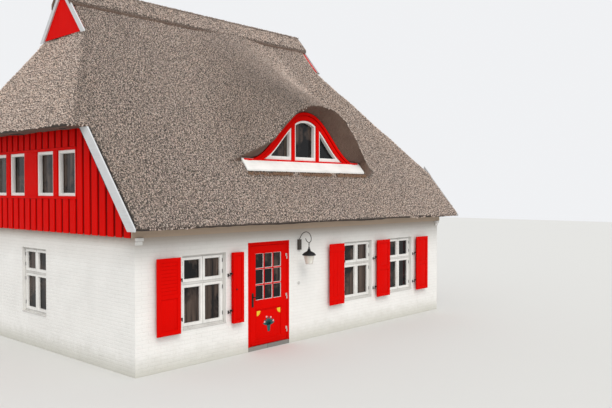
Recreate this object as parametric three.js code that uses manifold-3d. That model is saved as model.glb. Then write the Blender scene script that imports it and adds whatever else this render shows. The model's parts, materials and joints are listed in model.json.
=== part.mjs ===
// Thatched cottage of one and a half storeys, in millimetres, +Z up.
// The origin is on the ground, under the middle of the roof's plan. The front faces -Y.
import * as THREE from 'three';
import { mergeVertices } from 'three/addons/utils/BufferGeometryUtils.js';
import Module from 'manifold-3d';

const wasm = await Module();
wasm.setup();

// Masonry and floors
const touch = 0.3; // gap left between two pieces that touch
const wallLeft = -4510;
const wallRight = 4645;
const frontFace = -3500;
const backFace = 3500;
const wallThickness = 360;
const wallHeight = 2310;
const groundFloorTop = 80;
const upperFloorTop = 2510;

// Roof: outer face of the thatch falls from the ridge at one pitch on both sides
const ridgeHeight = 7260;
const pitch = 1.21; // fall for each unit of run, 50.4 degrees
const eaveReach = 500; // eave beyond the wall's face
const thatchDrop = 500; // thatch thickness measured straight down
const vergeLeft = wallLeft - 250;
const vergeRight = wallRight + 345;
const leftHip = { lip: -5090, lipHeight: 4150, gablet: -3830, inset: 370 };
const rightHip = { lip: 5090, lipHeight: 3820, gablet: 2940, inset: 423 };
const gabletHeight = 6270;
const roofTop = ridgeHeight + 200;

// Front openings, measured from the left corner of the front wall
const windowWidth = 990;
const windowHeight = 1300;
const windowBottom = 640;
const windowLefts = [wallLeft + 960, wallLeft + 5370, wallLeft + 6990];
const doorway = { left: wallLeft + 2500, right: wallLeft + 3620, top: 2080 };

// Dormer under the eyebrow hood
const dormerCentre = wallLeft + 4685;
const dormerFace = frontFace + 550;
const dormerSill = 3670;
const archRise = 1090;
const archHalfWidth = 1860;
const hoodRise = 1440;
const hoodBase = dormerSill - 10;
const hoodSides = { // above 1, fullness keeps the crest level for longer before it falls
  left: { halfWidth: 2400, fullness: 1 },
  right: { halfWidth: 2350, fullness: 1.5 }
};
const hoodTilt = Math.tan(THREE.MathUtils.degToRad(28));
const archSteps = 48; // facets along the arch, the same on the hood and on the window under it

const looks = {
  paintedBrick: new THREE.MeshStandardMaterial({ color: 0xe9e7e2, roughness: 0.85 }),
  redPaint: new THREE.MeshStandardMaterial({ color: 0xc2241c, roughness: 0.55 }),
  whitePaint: new THREE.MeshStandardMaterial({ color: 0xf2f1ee, roughness: 0.5 }),
  thatch: new THREE.MeshStandardMaterial({ color: 0x857a70, roughness: 1 }),
  floorboards: new THREE.MeshStandardMaterial({ color: 0xa98a62, roughness: 0.7 }),
  stoneFloor: new THREE.MeshStandardMaterial({ color: 0x8f8a82, roughness: 0.8 }),
  blackIron: new THREE.MeshStandardMaterial({ color: 0x1b1b1b, roughness: 0.5, metalness: 0.8 }),
  glass: new THREE.MeshStandardMaterial({
    color: 0x9fb0b4, roughness: 0.05, opacity: 0.35, transparent: true
  })
};

const cottage = new THREE.Group();

function addPiece(name, geometry, look, parent = cottage) {
  const mesh = new THREE.Mesh(geometry, look.clone());
  mesh.name = name;
  parent.add(mesh);
  return mesh;
}

// Flat outlines
function outline(points) {
  return new THREE.Shape(points.map(([a, b]) => new THREE.Vector2(a, b)));
}

function rectangle(left, low, right, high) {
  return outline([[left, low], [right, low], [right, high], [left, high]]);
}

// Solids from outlines: a shape drawn in X and Z, in Y and Z, or in X and Y
function upright(shape, front, back) {
  const solid = new THREE.ExtrudeGeometry(shape, { depth: back - front, bevelEnabled: false });
  const turn = new THREE.Matrix4().makeBasis(
    new THREE.Vector3(1, 0, 0), new THREE.Vector3(0, 0, 1), new THREE.Vector3(0, -1, 0));
  return solid.applyMatrix4(turn).translate(0, back, 0);
}

function crosswise(shape, left, right) {
  const solid = new THREE.ExtrudeGeometry(shape, { depth: right - left, bevelEnabled: false });
  const turn = new THREE.Matrix4().makeBasis(
    new THREE.Vector3(0, 1, 0), new THREE.Vector3(0, 0, 1), new THREE.Vector3(1, 0, 0));
  return solid.applyMatrix4(turn).translate(left, 0, 0);
}

function level(shape, low, high) {
  const solid = new THREE.ExtrudeGeometry(shape, { depth: high - low, bevelEnabled: false });
  return solid.translate(0, 0, low);
}

function block(x0, x1, y0, y1, z0, z1) {
  const solid = new THREE.BoxGeometry(x1 - x0, y1 - y0, z1 - z0);
  return solid.translate((x0 + x1) / 2, (y0 + y1) / 2, (z0 + z1) / 2);
}

function post(x, y, z0, z1, radius, sides = 16) {
  const solid = new THREE.CylinderGeometry(radius, radius, z1 - z0, sides);
  return solid.rotateX(Math.PI / 2).translate(x, y, (z0 + z1) / 2);
}

// Booleans, with edges shorter than the slack taken out of what they make
const slack = 0.05;

function solidOf(geometry) {
  const bare = geometry.clone();
  bare.deleteAttribute('normal');
  bare.deleteAttribute('uv');
  const merged = mergeVertices(bare, 1e-4);
  return new wasm.Manifold(new wasm.Mesh({
    numProp: 3,
    vertProperties: new Float32Array(merged.attributes.position.array),
    triVerts: new Uint32Array(merged.index.array)
  }));
}

function geometryOf(solid) {
  const mesh = solid.simplify(slack).getMesh();
  const geometry = new THREE.BufferGeometry();
  geometry.setAttribute('position', new THREE.BufferAttribute(mesh.vertProperties, 3));
  geometry.setIndex(new THREE.BufferAttribute(mesh.triVerts, 1));
  geometry.computeVertexNormals();
  return geometry;
}

function join(...geometries) {
  return geometryOf(geometries.map(solidOf).reduce((sum, next) => sum.add(next)));
}

function cut(geometry, ...cutters) {
  return geometryOf(cutters.map(solidOf).reduce((rest, next) => rest.subtract(next), solidOf(geometry)));
}

function common(...geometries) {
  return geometryOf(geometries.map(solidOf).reduce((shared, next) => shared.intersect(next)));
}

// Heights of the thatch at a distance from the ridge line
const thatchTop = (y) => ridgeHeight - pitch * Math.abs(y);
const thatchUnder = (y) => thatchTop(y) - thatchDrop;

// Walls with their window openings cut through
const past = 50; // how far a cutter reaches out of what it cuts

function longWall(left, right, front, windows) {
  const holes = windows.map((x) => block(x, x + windowWidth, front - past, front + wallThickness + past,
    windowBottom, windowBottom + windowHeight));
  return cut(block(left, right, front, front + wallThickness, 0, wallHeight), ...holes);
}

function gableWall(left, windowMiddle) {
  const near = windowMiddle - windowWidth / 2;
  const wall = block(left, left + wallThickness,
    frontFace + wallThickness + touch, backFace - wallThickness - touch, 0, wallHeight);
  return cut(wall, block(left - past, left + wallThickness + past, near, near + windowWidth,
    windowBottom, windowBottom + windowHeight));
}

const backWindowLefts = [wallLeft + 1900, wallLeft + 6300];
const gableWindowMiddle = 0;

addPiece('front_wall_left', longWall(wallLeft, doorway.left, frontFace, [windowLefts[0]]), looks.paintedBrick);
addPiece('front_wall_right',
  longWall(doorway.right, wallRight, frontFace, windowLefts.slice(1)), looks.paintedBrick);
addPiece('front_wall_over_door', block(doorway.left + touch, doorway.right - touch,
  frontFace, frontFace + wallThickness, doorway.top + touch, wallHeight), looks.paintedBrick);
addPiece('back_wall',
  longWall(wallLeft, wallRight, backFace - wallThickness, backWindowLefts), looks.paintedBrick);
addPiece('left_gable_wall', gableWall(wallLeft, gableWindowMiddle), looks.paintedBrick);
addPiece('right_gable_wall', gableWall(wallRight - wallThickness, gableWindowMiddle), looks.paintedBrick);

// Ground floor with a tongue through the doorway as its sill
const roomLeft = wallLeft + wallThickness + touch;
const roomRight = wallRight - wallThickness - touch;
const roomFront = frontFace + wallThickness + touch;
const roomBack = backFace - wallThickness - touch;
addPiece('ground_floor', level(outline([
  [roomLeft, roomBack], [roomLeft, roomFront],
  [doorway.left + touch, roomFront], [doorway.left + touch, frontFace],
  [doorway.right - touch, frontFace], [doorway.right - touch, roomFront],
  [roomRight, roomFront], [roomRight, roomBack]
]), 0, groundFloorTop), looks.stoneFloor);

// Timber gables stand on the masonry, boards outside; the upper floor runs between them
const boardsProud = 45;
const gableDepth = 165;
const gableLeft = wallLeft - boardsProud;
const gableRight = wallRight + boardsProud;
const upperFloorEdge = (ridgeHeight - thatchDrop - upperFloorTop) / pitch - touch;
addPiece('upper_floor',
  block(gableLeft + gableDepth + touch, gableRight - gableDepth - touch, -upperFloorEdge, upperFloorEdge,
    wallHeight + touch, upperFloorTop),
  looks.floorboards);

// Inner face of a half-hip, as its height over a place along the ridge
function hipRise(hip) {
  return (gabletHeight - hip.lipHeight) / Math.abs(hip.gablet - hip.lip);
}

function hipUnder(hip, x) {
  const inward = Math.sign(hip.gablet - hip.lip);
  const run = (x - hip.lip) * inward - hip.inset;
  return hip.lipHeight + Math.max(0, run) * hipRise(hip);
}

const bandHalfWidth = 1760;
const bandHeight = 950;
const gableBands = { left: 2920, right: 2750 };

function gableBoarding(outerFace, innerFace, hip, bandBottom) {
  const top = Math.min(hipUnder(hip, outerFace), hipUnder(hip, innerFace)) - 2 * touch;
  const shoulder = (ridgeHeight - thatchDrop - top) / pitch;
  const seat = 2 * touch;
  const shape = outline([
    [frontFace, wallHeight + touch], [backFace, wallHeight + touch],
    [backFace, thatchUnder(backFace) - seat], [shoulder, top - seat],
    [-shoulder, top - seat], [frontFace, thatchUnder(frontFace) - seat]
  ]);
  const from = Math.min(outerFace, innerFace);
  const to = Math.max(outerFace, innerFace);
  return cut(crosswise(shape, from, to), block(from - past, to + past, -bandHalfWidth, bandHalfWidth,
    bandBottom, bandBottom + bandHeight));
}

addPiece('left_gable_boarding',
  gableBoarding(gableLeft, gableLeft + gableDepth, leftHip, gableBands.left), looks.redPaint);
addPiece('right_gable_boarding',
  gableBoarding(gableRight, gableRight - gableDepth, rightHip, gableBands.right), looks.redPaint);

// Band of four lights with red posts, drawn in Y and Z from the band's middle and bottom
const bandLights = [[-1710, -1070], [-900, -260], [260, 900], [1070, 1710]];
const bandSash = 50;
const bandDepth = 70;
const bandSetBack = 20; // behind the boards' face

function gableBand(outerFace, inward, bottom) {
  const face = outerFace + bandSetBack * inward;
  const from = Math.min(face, face + bandDepth * inward);
  const to = from + bandDepth;
  const plate = block(from, to, -bandHalfWidth + touch, bandHalfWidth - touch,
    bottom + touch, bottom + bandHeight - touch);
  const lights = bandLights.map(([near, far]) => block(from - past, to + past,
    near + bandSash, far - bandSash, bottom + 2 * bandSash, bottom + bandHeight - 2 * bandSash));
  return cut(plate, ...lights);
}

const pane = 6; // thickness of the glass

function gableBandGlass(outerFace, inward, bottom) {
  const face = outerFace + (bandSetBack + bandDepth + touch) * inward;
  return block(
    Math.min(face, face + pane * inward), Math.max(face, face + pane * inward),
    -bandHalfWidth + bandSash, bandHalfWidth - bandSash, bottom + bandSash, bottom + bandHeight - bandSash);
}

addPiece('left_gable_window', gableBand(gableLeft, 1, gableBands.left), looks.whitePaint);
addPiece('left_gable_window_glass', gableBandGlass(gableLeft, 1, gableBands.left), looks.glass);
addPiece('right_gable_window', gableBand(gableRight, -1, gableBands.right), looks.whitePaint);
addPiece('right_gable_window_glass', gableBandGlass(gableRight, -1, gableBands.right), looks.glass);

// Thatch: one body cut from a long prism, hipped at both ends, then parted along its hips
const eave = Math.abs(frontFace) + eaveReach;
const eaveHeight = thatchTop(eave);
const underEave = (ridgeHeight - thatchDrop - eaveHeight) / pitch;
const beyond = 6000; // further out than any part of the roof
const belowEave = 100; // how far the roof's cutters reach under the eave

const outerSection = outline([[-eave, eaveHeight], [eave, eaveHeight], [0, ridgeHeight]]);
const innerSection = outline([
  [-underEave - belowEave / pitch, eaveHeight - belowEave],
  [underEave + belowEave / pitch, eaveHeight - belowEave],
  [0, ridgeHeight - thatchDrop]
]);
const outerEnds = outline([
  [vergeLeft, eaveHeight - belowEave], [vergeRight, eaveHeight - belowEave],
  [vergeRight, rightHip.lipHeight], [rightHip.lip, rightHip.lipHeight],
  [rightHip.gablet, gabletHeight], [rightHip.gablet, roofTop],
  [leftHip.gablet, roofTop], [leftHip.gablet, gabletHeight],
  [leftHip.lip, leftHip.lipHeight], [vergeLeft, leftHip.lipHeight]
]);
const hipTopRun = (hip) => (roofTop - hip.lipHeight) / hipRise(hip);
const innerEnds = outline([
  [-beyond, eaveHeight - 2 * belowEave], [beyond, eaveHeight - 2 * belowEave],
  [beyond, rightHip.lipHeight], [rightHip.lip - rightHip.inset, rightHip.lipHeight],
  [rightHip.lip - rightHip.inset - hipTopRun(rightHip), roofTop],
  [leftHip.lip + leftHip.inset + hipTopRun(leftHip), roofTop],
  [leftHip.lip + leftHip.inset, leftHip.lipHeight], [-beyond, leftHip.lipHeight]
]);

const roofOuter = common(crosswise(outerSection, -beyond, beyond), upright(outerEnds, -beyond, beyond));
const roofInner = common(crosswise(innerSection, -beyond, beyond), upright(innerEnds, -beyond, beyond));
const thatchBody = cut(roofOuter, roofInner);

// Plan of a half-hip: between its two hip lines, seen from above
function hipPlan(hip, gap) {
  const outward = Math.sign(hip.lip - hip.gablet);
  const lipSpread = (ridgeHeight - hip.lipHeight) / pitch;
  const gabletSpread = (ridgeHeight - gabletHeight) / pitch;
  const spread = (lipSpread - gabletSpread) / Math.abs(hip.lip - hip.gablet);
  const wide = lipSpread + past * spread + gap;
  const narrow = gabletSpread + gap;
  const corners = [
    [hip.lip + outward * past, -wide], [hip.gablet - outward * gap, -narrow],
    [hip.gablet - outward * gap, narrow], [hip.lip + outward * past, wide]
  ];
  return level(outline(outward < 0 ? corners : corners.reverse()), 0, roofTop);
}

// Room behind the dormer's window, and the hood's outer form, both rising towards the ridge
const wave = (x, halfWidth) => 0.5 * (1 + Math.cos((Math.PI * x) / halfWidth));
const underEyebrow = 600; // how far its solid goes down

function eyebrow(left, right, heightAt) {
  const points = [];
  for (let i = archSteps; i >= 0; i -= 1) {
    const x = left + ((right - left) * i) / archSteps;
    points.push([dormerCentre + x, heightAt(x)]);
  }
  const shape = outline([[dormerCentre + left, heightAt(left) - underEyebrow],
    [dormerCentre + right, heightAt(right) - underEyebrow], ...points]);
  const solid = upright(shape, frontFace - past, 0);
  const rising = new THREE.Matrix4().set(
    1, 0, 0, 0,
    0, 1, 0, 0,
    0, hoodTilt, 1, -hoodTilt * dormerFace,
    0, 0, 0, 1);
  return solid.applyMatrix4(rising);
}

const roomHalfWidth = archHalfWidth + touch;
const roomTop = (x) => dormerSill + touch + archRise * wave(x, roomHalfWidth);
const roomSolid = eyebrow(-roomHalfWidth, roomHalfWidth, roomTop);
const aboveSill = block(-beyond, beyond, -beyond, beyond, dormerSill, roofTop);
const dormerRoom = common(roomSolid, aboveSill);

addPiece('thatch_front', cut(
  common(thatchBody, block(-beyond, beyond, -beyond, -touch / 2, 0, roofTop)),
  hipPlan(leftHip, touch), hipPlan(rightHip, touch), dormerRoom), looks.thatch);
addPiece('thatch_back', cut(
  common(thatchBody, block(-beyond, beyond, touch / 2, beyond, 0, roofTop)),
  hipPlan(leftHip, touch), hipPlan(rightHip, touch)), looks.thatch);
addPiece('thatch_left_half_hip', common(thatchBody, hipPlan(leftHip, -touch)), looks.thatch);
addPiece('thatch_right_half_hip', common(thatchBody, hipPlan(rightHip, -touch)), looks.thatch);

// Outer form of the hood at a place along the ridge, measured from the dormer's middle
function hoodShare(x) {
  const side = x < 0 ? hoodSides.left : hoodSides.right;
  return { side, share: Math.min(1, Math.abs(x) / side.halfWidth) };
}

function hoodCrest(x) {
  const { side, share } = hoodShare(x);
  return hoodBase + hoodRise * wave(share ** side.fullness, 1);
}

const hoodTop = (x, y) => hoodCrest(x) + hoodTilt * (y - dormerFace);

// Lip of the hood seen from above: forward over the window, back where it runs into the slope
const hoodLipForward = frontFace + 200;
const hoodLipBack = { left: dormerFace - 60, right: frontFace + 440 };
const leftLipTurn = { from: 0.5, to: 0.8 }; // share of the half width in which the left lip goes back

function hoodLip(x) {
  const { share } = hoodShare(x);
  const turned = x < 0 ? THREE.MathUtils.smoothstep(share, leftLipTurn.from, leftLipTurn.to) : share ** 4;
  const back = x < 0 ? hoodLipBack.left : hoodLipBack.right;
  return hoodLipForward + (back - hoodLipForward) * turned;
}

function hoodPlan() {
  const left = -hoodSides.left.halfWidth - past;
  const right = hoodSides.right.halfWidth + past;
  const points = [];
  for (let i = 0; i <= archSteps; i += 1) {
    const x = left + ((right - left) * i) / archSteps;
    points.push([dormerCentre + x, hoodLip(x)]);
  }
  return level(outline([...points, [dormerCentre + right, 0], [dormerCentre + left, 0]]),
    dormerSill - 100, roofTop);
}

// The hood's reeds are cut on a slant, from under the lip's edge back to the window's arch
const lipThickness = 30;
const slantReach = 1.5; // the cut runs on past the lip by half its depth
const slantFloor = dormerSill - 600; // below the apron

function slantedCut() {
  const rows = { front: [], back: [] };
  for (let i = 0; i <= archSteps; i += 1) {
    const x = (-1 + (2 * i) / archSteps) * roomHalfWidth;
    const lip = hoodLip(x);
    const arch = roomTop(x);
    const edge = hoodTop(x, lip) - lipThickness;
    rows.back.push(new THREE.Vector3(dormerCentre + x, dormerFace, arch));
    rows.front.push(new THREE.Vector3(
      dormerCentre + x,
      dormerFace + (lip - dormerFace) * slantReach,
      arch + (edge - arch) * slantReach));
  }
  const floorUnder = (row) => row.map((point) => point.clone().setZ(slantFloor));
  return lofted([rows.front, rows.back, floorUnder(rows.back), floorUnder(rows.front)]);
}

// A solid from long edges that run side by side around it, closed at both ends
function lofted(edges) {
  const geometry = new THREE.BufferGeometry().setFromPoints(edges.flat());
  const count = edges[0].length;
  const faces = [];
  edges.forEach((edge, number) => {
    const a = number * count;
    const b = ((number + 1) % edges.length) * count;
    for (let i = 0; i < count - 1; i += 1) {
      faces.push(a + i, a + i + 1, b + i + 1, a + i, b + i + 1, b + i);
    }
  });
  const last = count - 1;
  for (let number = 1; number < edges.length - 1; number += 1) {
    faces.push(0, number * count, (number + 1) * count);
    faces.push(last, (number + 1) * count + last, number * count + last);
  }
  geometry.setIndex(faces);
  return geometry;
}

// White apron board lying on the thatch under the dormer's sill
const apronThickness = 39; // measured straight down
const apronTop = -dormerFace + touch; // distances from the ridge line
const apronFoot = apronTop + 185;
const apronHalfWidth = archHalfWidth;

function apron(clearance) {
  const top = apronTop - clearance;
  const foot = apronFoot + clearance;
  const under = clearance ? -past : 2 * touch;
  const over = apronThickness + clearance;
  const halfWidth = apronHalfWidth + clearance;
  return crosswise(outline([
    [-foot, thatchTop(foot) + under], [-top, thatchTop(top) + under],
    [-top, thatchTop(top) + over], [-foot, thatchTop(foot) + over]
  ]), dormerCentre - halfWidth, dormerCentre + halfWidth);
}

const slopeFloor = thatchTop(beyond) - past;
const slopeSolid = crosswise(outline([
  [-beyond, slopeFloor], [0, slopeFloor], [0, ridgeHeight + touch], [-beyond, thatchTop(beyond) + touch]
]), -beyond, beyond);
const hoodSolid = eyebrow(-hoodSides.left.halfWidth, hoodSides.right.halfWidth, hoodCrest);
addPiece('dormer_hood', cut(common(hoodSolid, hoodPlan()), roomSolid, slantedCut(), slopeSolid, apron(touch)),
  looks.thatch);

// Ridge cap: a saddle over both slopes with a rounded top
const capReach = 380;
const capThickness = 70; // measured straight down
const capTop = 7300;
const capBeyond = 95; // past each gablet's plane
const capEnds = { left: leftHip.gablet - capBeyond, right: rightHip.gablet + capBeyond };
const crown = { halfWidth: 110, steps: 8 }; // the rounded top

function ridgeCap() {
  const shoulderHeight = thatchTop(crown.halfWidth) + capThickness;
  const points = [[-capReach, thatchTop(capReach) + 2 * touch], [0, ridgeHeight + 2 * touch],
    [capReach, thatchTop(capReach) + 2 * touch], [capReach, thatchTop(capReach) + capThickness]];
  for (let i = 0; i <= crown.steps; i += 1) {
    const across = 1 - (2 * i) / crown.steps;
    const roundness = 1 - across * across;
    points.push([across * crown.halfWidth, shoulderHeight + (capTop - shoulderHeight) * roundness]);
  }
  points.push([-capReach, thatchTop(capReach) + capThickness]);
  return crosswise(outline(points), capEnds.left, capEnds.right);
}

addPiece('ridge_cap', ridgeCap(), looks.thatch);

// Gablet at each end of the ridge: red boards in the thatch's end, white barges in front
const gabletBoards = 40;
const bargeThickness = 30;
const gabletBargeDrop = 170; // board width measured straight down
const gabletBoardsLow = 60; // the boards' peak under the barges' peak
const gabletHalfWidth = { boards: 950, barge: 900, opening: 1100 };

function gabletTriangle(halfWidth, lowered) {
  const peak = ridgeHeight - lowered;
  return outline([[-halfWidth, peak - pitch * halfWidth], [halfWidth, peak - pitch * halfWidth], [0, peak]]);
}

function addGablet(side, hip) {
  const outward = Math.sign(hip.lip - hip.gablet);
  const clearRoof = roofOuter.clone().translate(outward * touch, 0, touch);
  const boardsNear = hip.gablet + outward * touch;
  const boardsFar = boardsNear + outward * gabletBoards;
  const boards = crosswise(gabletTriangle(gabletHalfWidth.boards, gabletBoardsLow),
    Math.min(boardsNear, boardsFar), Math.max(boardsNear, boardsFar));
  addPiece(`${side}_gablet_boards`, cut(boards, clearRoof), looks.redPaint);
  const bargeNear = boardsFar + outward * touch;
  const bargeFar = bargeNear + outward * bargeThickness;
  const from = Math.min(bargeNear, bargeFar);
  const to = Math.max(bargeNear, bargeFar);
  const barge = cut(crosswise(gabletTriangle(gabletHalfWidth.barge, 0), from, to),
    crosswise(gabletTriangle(gabletHalfWidth.opening, gabletBargeDrop), from - past, to + past), clearRoof);
  addPiece(`${side}_gablet_barge`, barge, looks.whitePaint);
}

addGablet('left', leftHip);
addGablet('right', rightHip);

// Barge boards on the ends of the thatch, from the eave up to the half-hip
const bargeWidthDown = 290; // board width measured straight down
const bargeLow = 60; // below the thatch's face at its top edge
const bargeFootBack = 90; // behind the eave
const bargeHeadShort = 30; // of the half-hip's corner

function bargeBoard(outerFace, inward, hip, side) {
  const foot = side * (eave - bargeFootBack);
  const head = side * ((ridgeHeight - hip.lipHeight) / pitch + bargeHeadShort);
  const shape = outline([
    [foot, thatchTop(foot) - bargeLow], [head, thatchTop(head) - bargeLow],
    [head, thatchTop(head) - bargeLow - bargeWidthDown], [foot, thatchTop(foot) - bargeLow - bargeWidthDown]
  ]);
  const from = Math.min(outerFace, outerFace + bargeThickness * inward);
  const lowEnd = block(-beyond, beyond, -beyond, beyond, 0, eaveHeight + touch);
  return cut(crosswise(shape, from, from + bargeThickness), lowEnd);
}

const bargeFaceLeft = vergeLeft - touch - bargeThickness;
const bargeFaceRight = vergeRight + touch + bargeThickness;
addPiece('left_front_barge_board', bargeBoard(bargeFaceLeft, 1, leftHip, -1), looks.whitePaint);
addPiece('left_back_barge_board', bargeBoard(bargeFaceLeft, 1, leftHip, 1), looks.whitePaint);
addPiece('right_front_barge_board', bargeBoard(bargeFaceRight, -1, rightHip, -1), looks.whitePaint);
addPiece('right_back_barge_board', bargeBoard(bargeFaceRight, -1, rightHip, 1), looks.whitePaint);

// Dormer window: a plate under the arch with three lights, and its white apron on the thatch
const dormerDepth = 80;
const archInner = { rise: 920, halfWidth: 1550 };
const dormerPost = 95;
const dormerMiddleLight = 680;
const dormerSash = 50;
const dormerSideFar = 1120; // from the middle to the side lights' outer ends
const dormerGlassBottom = 90; // above the sill
const dormerPane = { halfWidth: 1200, low: 60, underArch: 90 }; // one sheet behind all lights
const lightSteps = { light: 12, pane: 24 };

const archHeight = (x) => dormerSill + archRise * wave(x, archHalfWidth);
const lightHeight = (x) => dormerSill + archInner.rise * wave(x, archInner.halfWidth);

function archedOutline(left, right, low, heightAt, steps) {
  const points = [[left, low], [right, low]];
  for (let i = 0; i <= steps; i += 1) {
    const x = right + ((left - right) * i) / steps;
    points.push([x, heightAt(x)]);
  }
  return outline(points.map(([x, z]) => [x + dormerCentre, z]));
}

function dormerFrame() {
  const tip = archHalfWidth * (1 - 2 / archSteps);
  const plate = archedOutline(-tip, tip, dormerSill + touch, archHeight, archSteps - 2);
  const low = dormerSill + dormerGlassBottom;
  const glassTop = (x) => lightHeight(x) - dormerSash;
  const middle = dormerMiddleLight / 2 - dormerSash;
  const sideNear = dormerMiddleLight / 2 + dormerPost + dormerSash;
  const lights = [[-middle, middle], [sideNear, dormerSideFar], [-dormerSideFar, -sideNear]];
  const holes = lights.map(([left, right]) => upright(
    archedOutline(left, right, low, glassTop, lightSteps.light),
    dormerFace - past, dormerFace + dormerDepth + past));
  return cut(upright(plate, dormerFace, dormerFace + dormerDepth), ...holes);
}

function dormerGlass() {
  const shape = archedOutline(-dormerPane.halfWidth, dormerPane.halfWidth, dormerSill + dormerPane.low,
    (x) => archHeight(x) - dormerPane.underArch, lightSteps.pane);
  const face = dormerFace + dormerDepth + touch;
  return upright(shape, face, face + pane);
}

addPiece('dormer_window', dormerFrame(), looks.redPaint);
addPiece('dormer_glass', dormerGlass(), looks.glass);
addPiece('dormer_apron', apron(0), looks.whitePaint);

// Windows of the ground storey: a frame with a mullion and a transom, the glass in a rebate behind
const frameFace = 65; // behind the wall's face
const frameDepth = 70;
const barDepth = 40;
const stile = 83;
const bottomRail = 95;
const topRail = 80;
const lightWidth = 362;
const lowerLight = 640;
const upperLight = 350;
const rebate = { side: 70, end: 60 };

function windowFrame() {
  const frameBack = frameFace + frameDepth;
  const plate = block(touch, windowWidth - touch, frameFace, frameBack, touch, windowHeight - touch);
  const heights = [[bottomRail, bottomRail + lowerLight],
    [windowHeight - topRail - upperLight, windowHeight - topRail]];
  const holes = [stile, windowWidth - stile - lightWidth].flatMap((x) => heights.map(([low, high]) =>
    block(x, x + lightWidth, frameFace - past, frameBack + past, low, high)));
  const behind = block(rebate.side, windowWidth - rebate.side, frameFace + barDepth, frameBack + past,
    rebate.end, windowHeight - rebate.end);
  return cut(plate, ...holes, behind);
}

function windowGlass() {
  const face = frameFace + barDepth + touch;
  return block(rebate.side + touch, windowWidth - rebate.side - touch, face, face + pane,
    rebate.end + touch, windowHeight - rebate.end - touch);
}

// Iron pintles beside a window: a strap on the wall, a stem, and the knuckle the leaf turns on
const pinOut = 60; // pin's axis in front of the wall
const pinAside = 50; // and beside the opening
const strapHeights = [863, 1545];
const knuckleRadius = 9;
const knuckleHalf = 18;
const pintleHalf = 15; // the pintle's own knuckle, under the leaf's
const pintleIron = { thick: 6, halfHeight: 14, pastPin: 8, inReveal: 8, intoFrame: 5, stemHalf: 6 };

function pintle(side, strapHeight) {
  const edge = side < 0 ? 0 : windowWidth;
  const pin = edge + side * pinAside;
  const outer = pin + side * pintleIron.pastPin;
  const inner = edge - side * pintleIron.inReveal;
  const turn = edge - side; // where the strap bends back along the reveal to the frame
  const z = strapHeight - windowBottom - knuckleHalf - pintleHalf - 2 * touch;
  const { thick, halfHeight, intoFrame, stemHalf } = pintleIron;
  return [
    block(Math.min(outer, inner), Math.max(outer, inner), -thick, -touch, z - halfHeight, z + halfHeight),
    block(Math.min(inner, turn), Math.max(inner, turn), -thick, frameFace + intoFrame,
      z - halfHeight, z + halfHeight),
    block(pin - stemHalf, pin + stemHalf, -pinOut, -thick / 2, z - stemHalf, z + stemHalf),
    post(pin, -pinOut, z - pintleHalf, z + pintleHalf, knuckleRadius)
  ];
}

const frontWindowPintles = [[-1, 1], [-1, 1], [1]];
windowLefts.forEach((left, index) => {
  const place = new THREE.Group();
  place.position.set(left, frontFace, windowBottom);
  cottage.add(place);
  const pintles = frontWindowPintles[index].flatMap((side) => strapHeights.flatMap((z) => pintle(side, z)));
  addPiece(`front_window_${index + 1}`, join(windowFrame(), ...pintles), looks.whitePaint, place);
  addPiece(`front_window_${index + 1}_glass`, windowGlass(), looks.glass, place);
});

function addPlainWindow(name, x, y, turn) {
  const place = new THREE.Group();
  place.position.set(x, y, windowBottom);
  place.rotation.z = turn;
  cottage.add(place);
  addPiece(name, windowFrame(), looks.whitePaint, place);
  addPiece(`${name}_glass`, windowGlass(), looks.glass, place);
}

addPlainWindow('back_window_1', backWindowLefts[0] + windowWidth, backFace, Math.PI);
addPlainWindow('back_window_2', backWindowLefts[1] + windowWidth, backFace, Math.PI);
addPlainWindow('left_gable_lower_window', wallLeft, gableWindowMiddle + windowWidth / 2, -Math.PI / 2);
addPlainWindow('right_gable_lower_window', wallRight, gableWindowMiddle - windowWidth / 2, Math.PI / 2);

// Shutter leaves, standing open against the wall; each is drawn from its pin's axis
const leafWidth = 485;
const leafThickness = 35;
const leafStart = 53.5; // from the pin's axis to the leaf's near edge
const leafBottom = 620;
const leafTop = 1930;
const leafBack = -5; // the leaf's wall side, in front of the pin's axis
const strapReach = 380;
const leafBorder = 75; // stiles and rails around the two panels
const panelSunk = 8;

function leafKnuckle(strapHeight) {
  return post(0, 0, strapHeight - knuckleHalf + touch, strapHeight + knuckleHalf, knuckleRadius);
}

function shutterLeaf(side) {
  const near = side * leafStart;
  const far = side * (leafStart + leafWidth);
  const left = Math.min(near, far);
  const right = Math.max(near, far);
  const leafFace = leafBack - leafThickness;
  const board = block(left, right, leafFace, leafBack, leafBottom, leafTop);
  const middle = (leafBottom + leafTop) / 2;
  const heights = [[leafBottom + leafBorder, middle - leafBorder / 2],
    [middle + leafBorder / 2, leafTop - leafBorder]];
  const panels = heights.map(([low, high]) =>
    block(left + leafBorder, right - leafBorder, leafFace - past, leafFace + panelSunk, low, high));
  const straps = strapHeights.map((z) => {
    const end = side * (leafStart + strapReach);
    return block(Math.min(0, end), Math.max(0, end), leafBack - 1, 0, z - knuckleHalf + touch, z + knuckleHalf);
  });
  return join(cut(board, ...panels), ...straps, ...strapHeights.map(leafKnuckle));
}

// Narrow leaf folded double, because the pier beside the door is too short for a whole one
const folded = { start: leafStart, width: 260, thickness: 32, gap: 3, strap: 5 };

function foldedLeaf() {
  const { start, width, thickness, gap, strap } = folded;
  const innerFace = leafBack;
  const outerBack = leafBack - gap;
  const outer = block(start, start + width, outerBack - thickness, outerBack, leafBottom, leafTop);
  const inner = block(start, start + width, innerFace, innerFace + thickness, leafBottom, leafTop);
  const straps = strapHeights.map((z) => block(0, start + width, outerBack - 1, outerBack - 1 + strap,
    z - knuckleHalf + touch, z + knuckleHalf));
  return join(outer, inner, ...straps, ...strapHeights.map(leafKnuckle));
}

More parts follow.
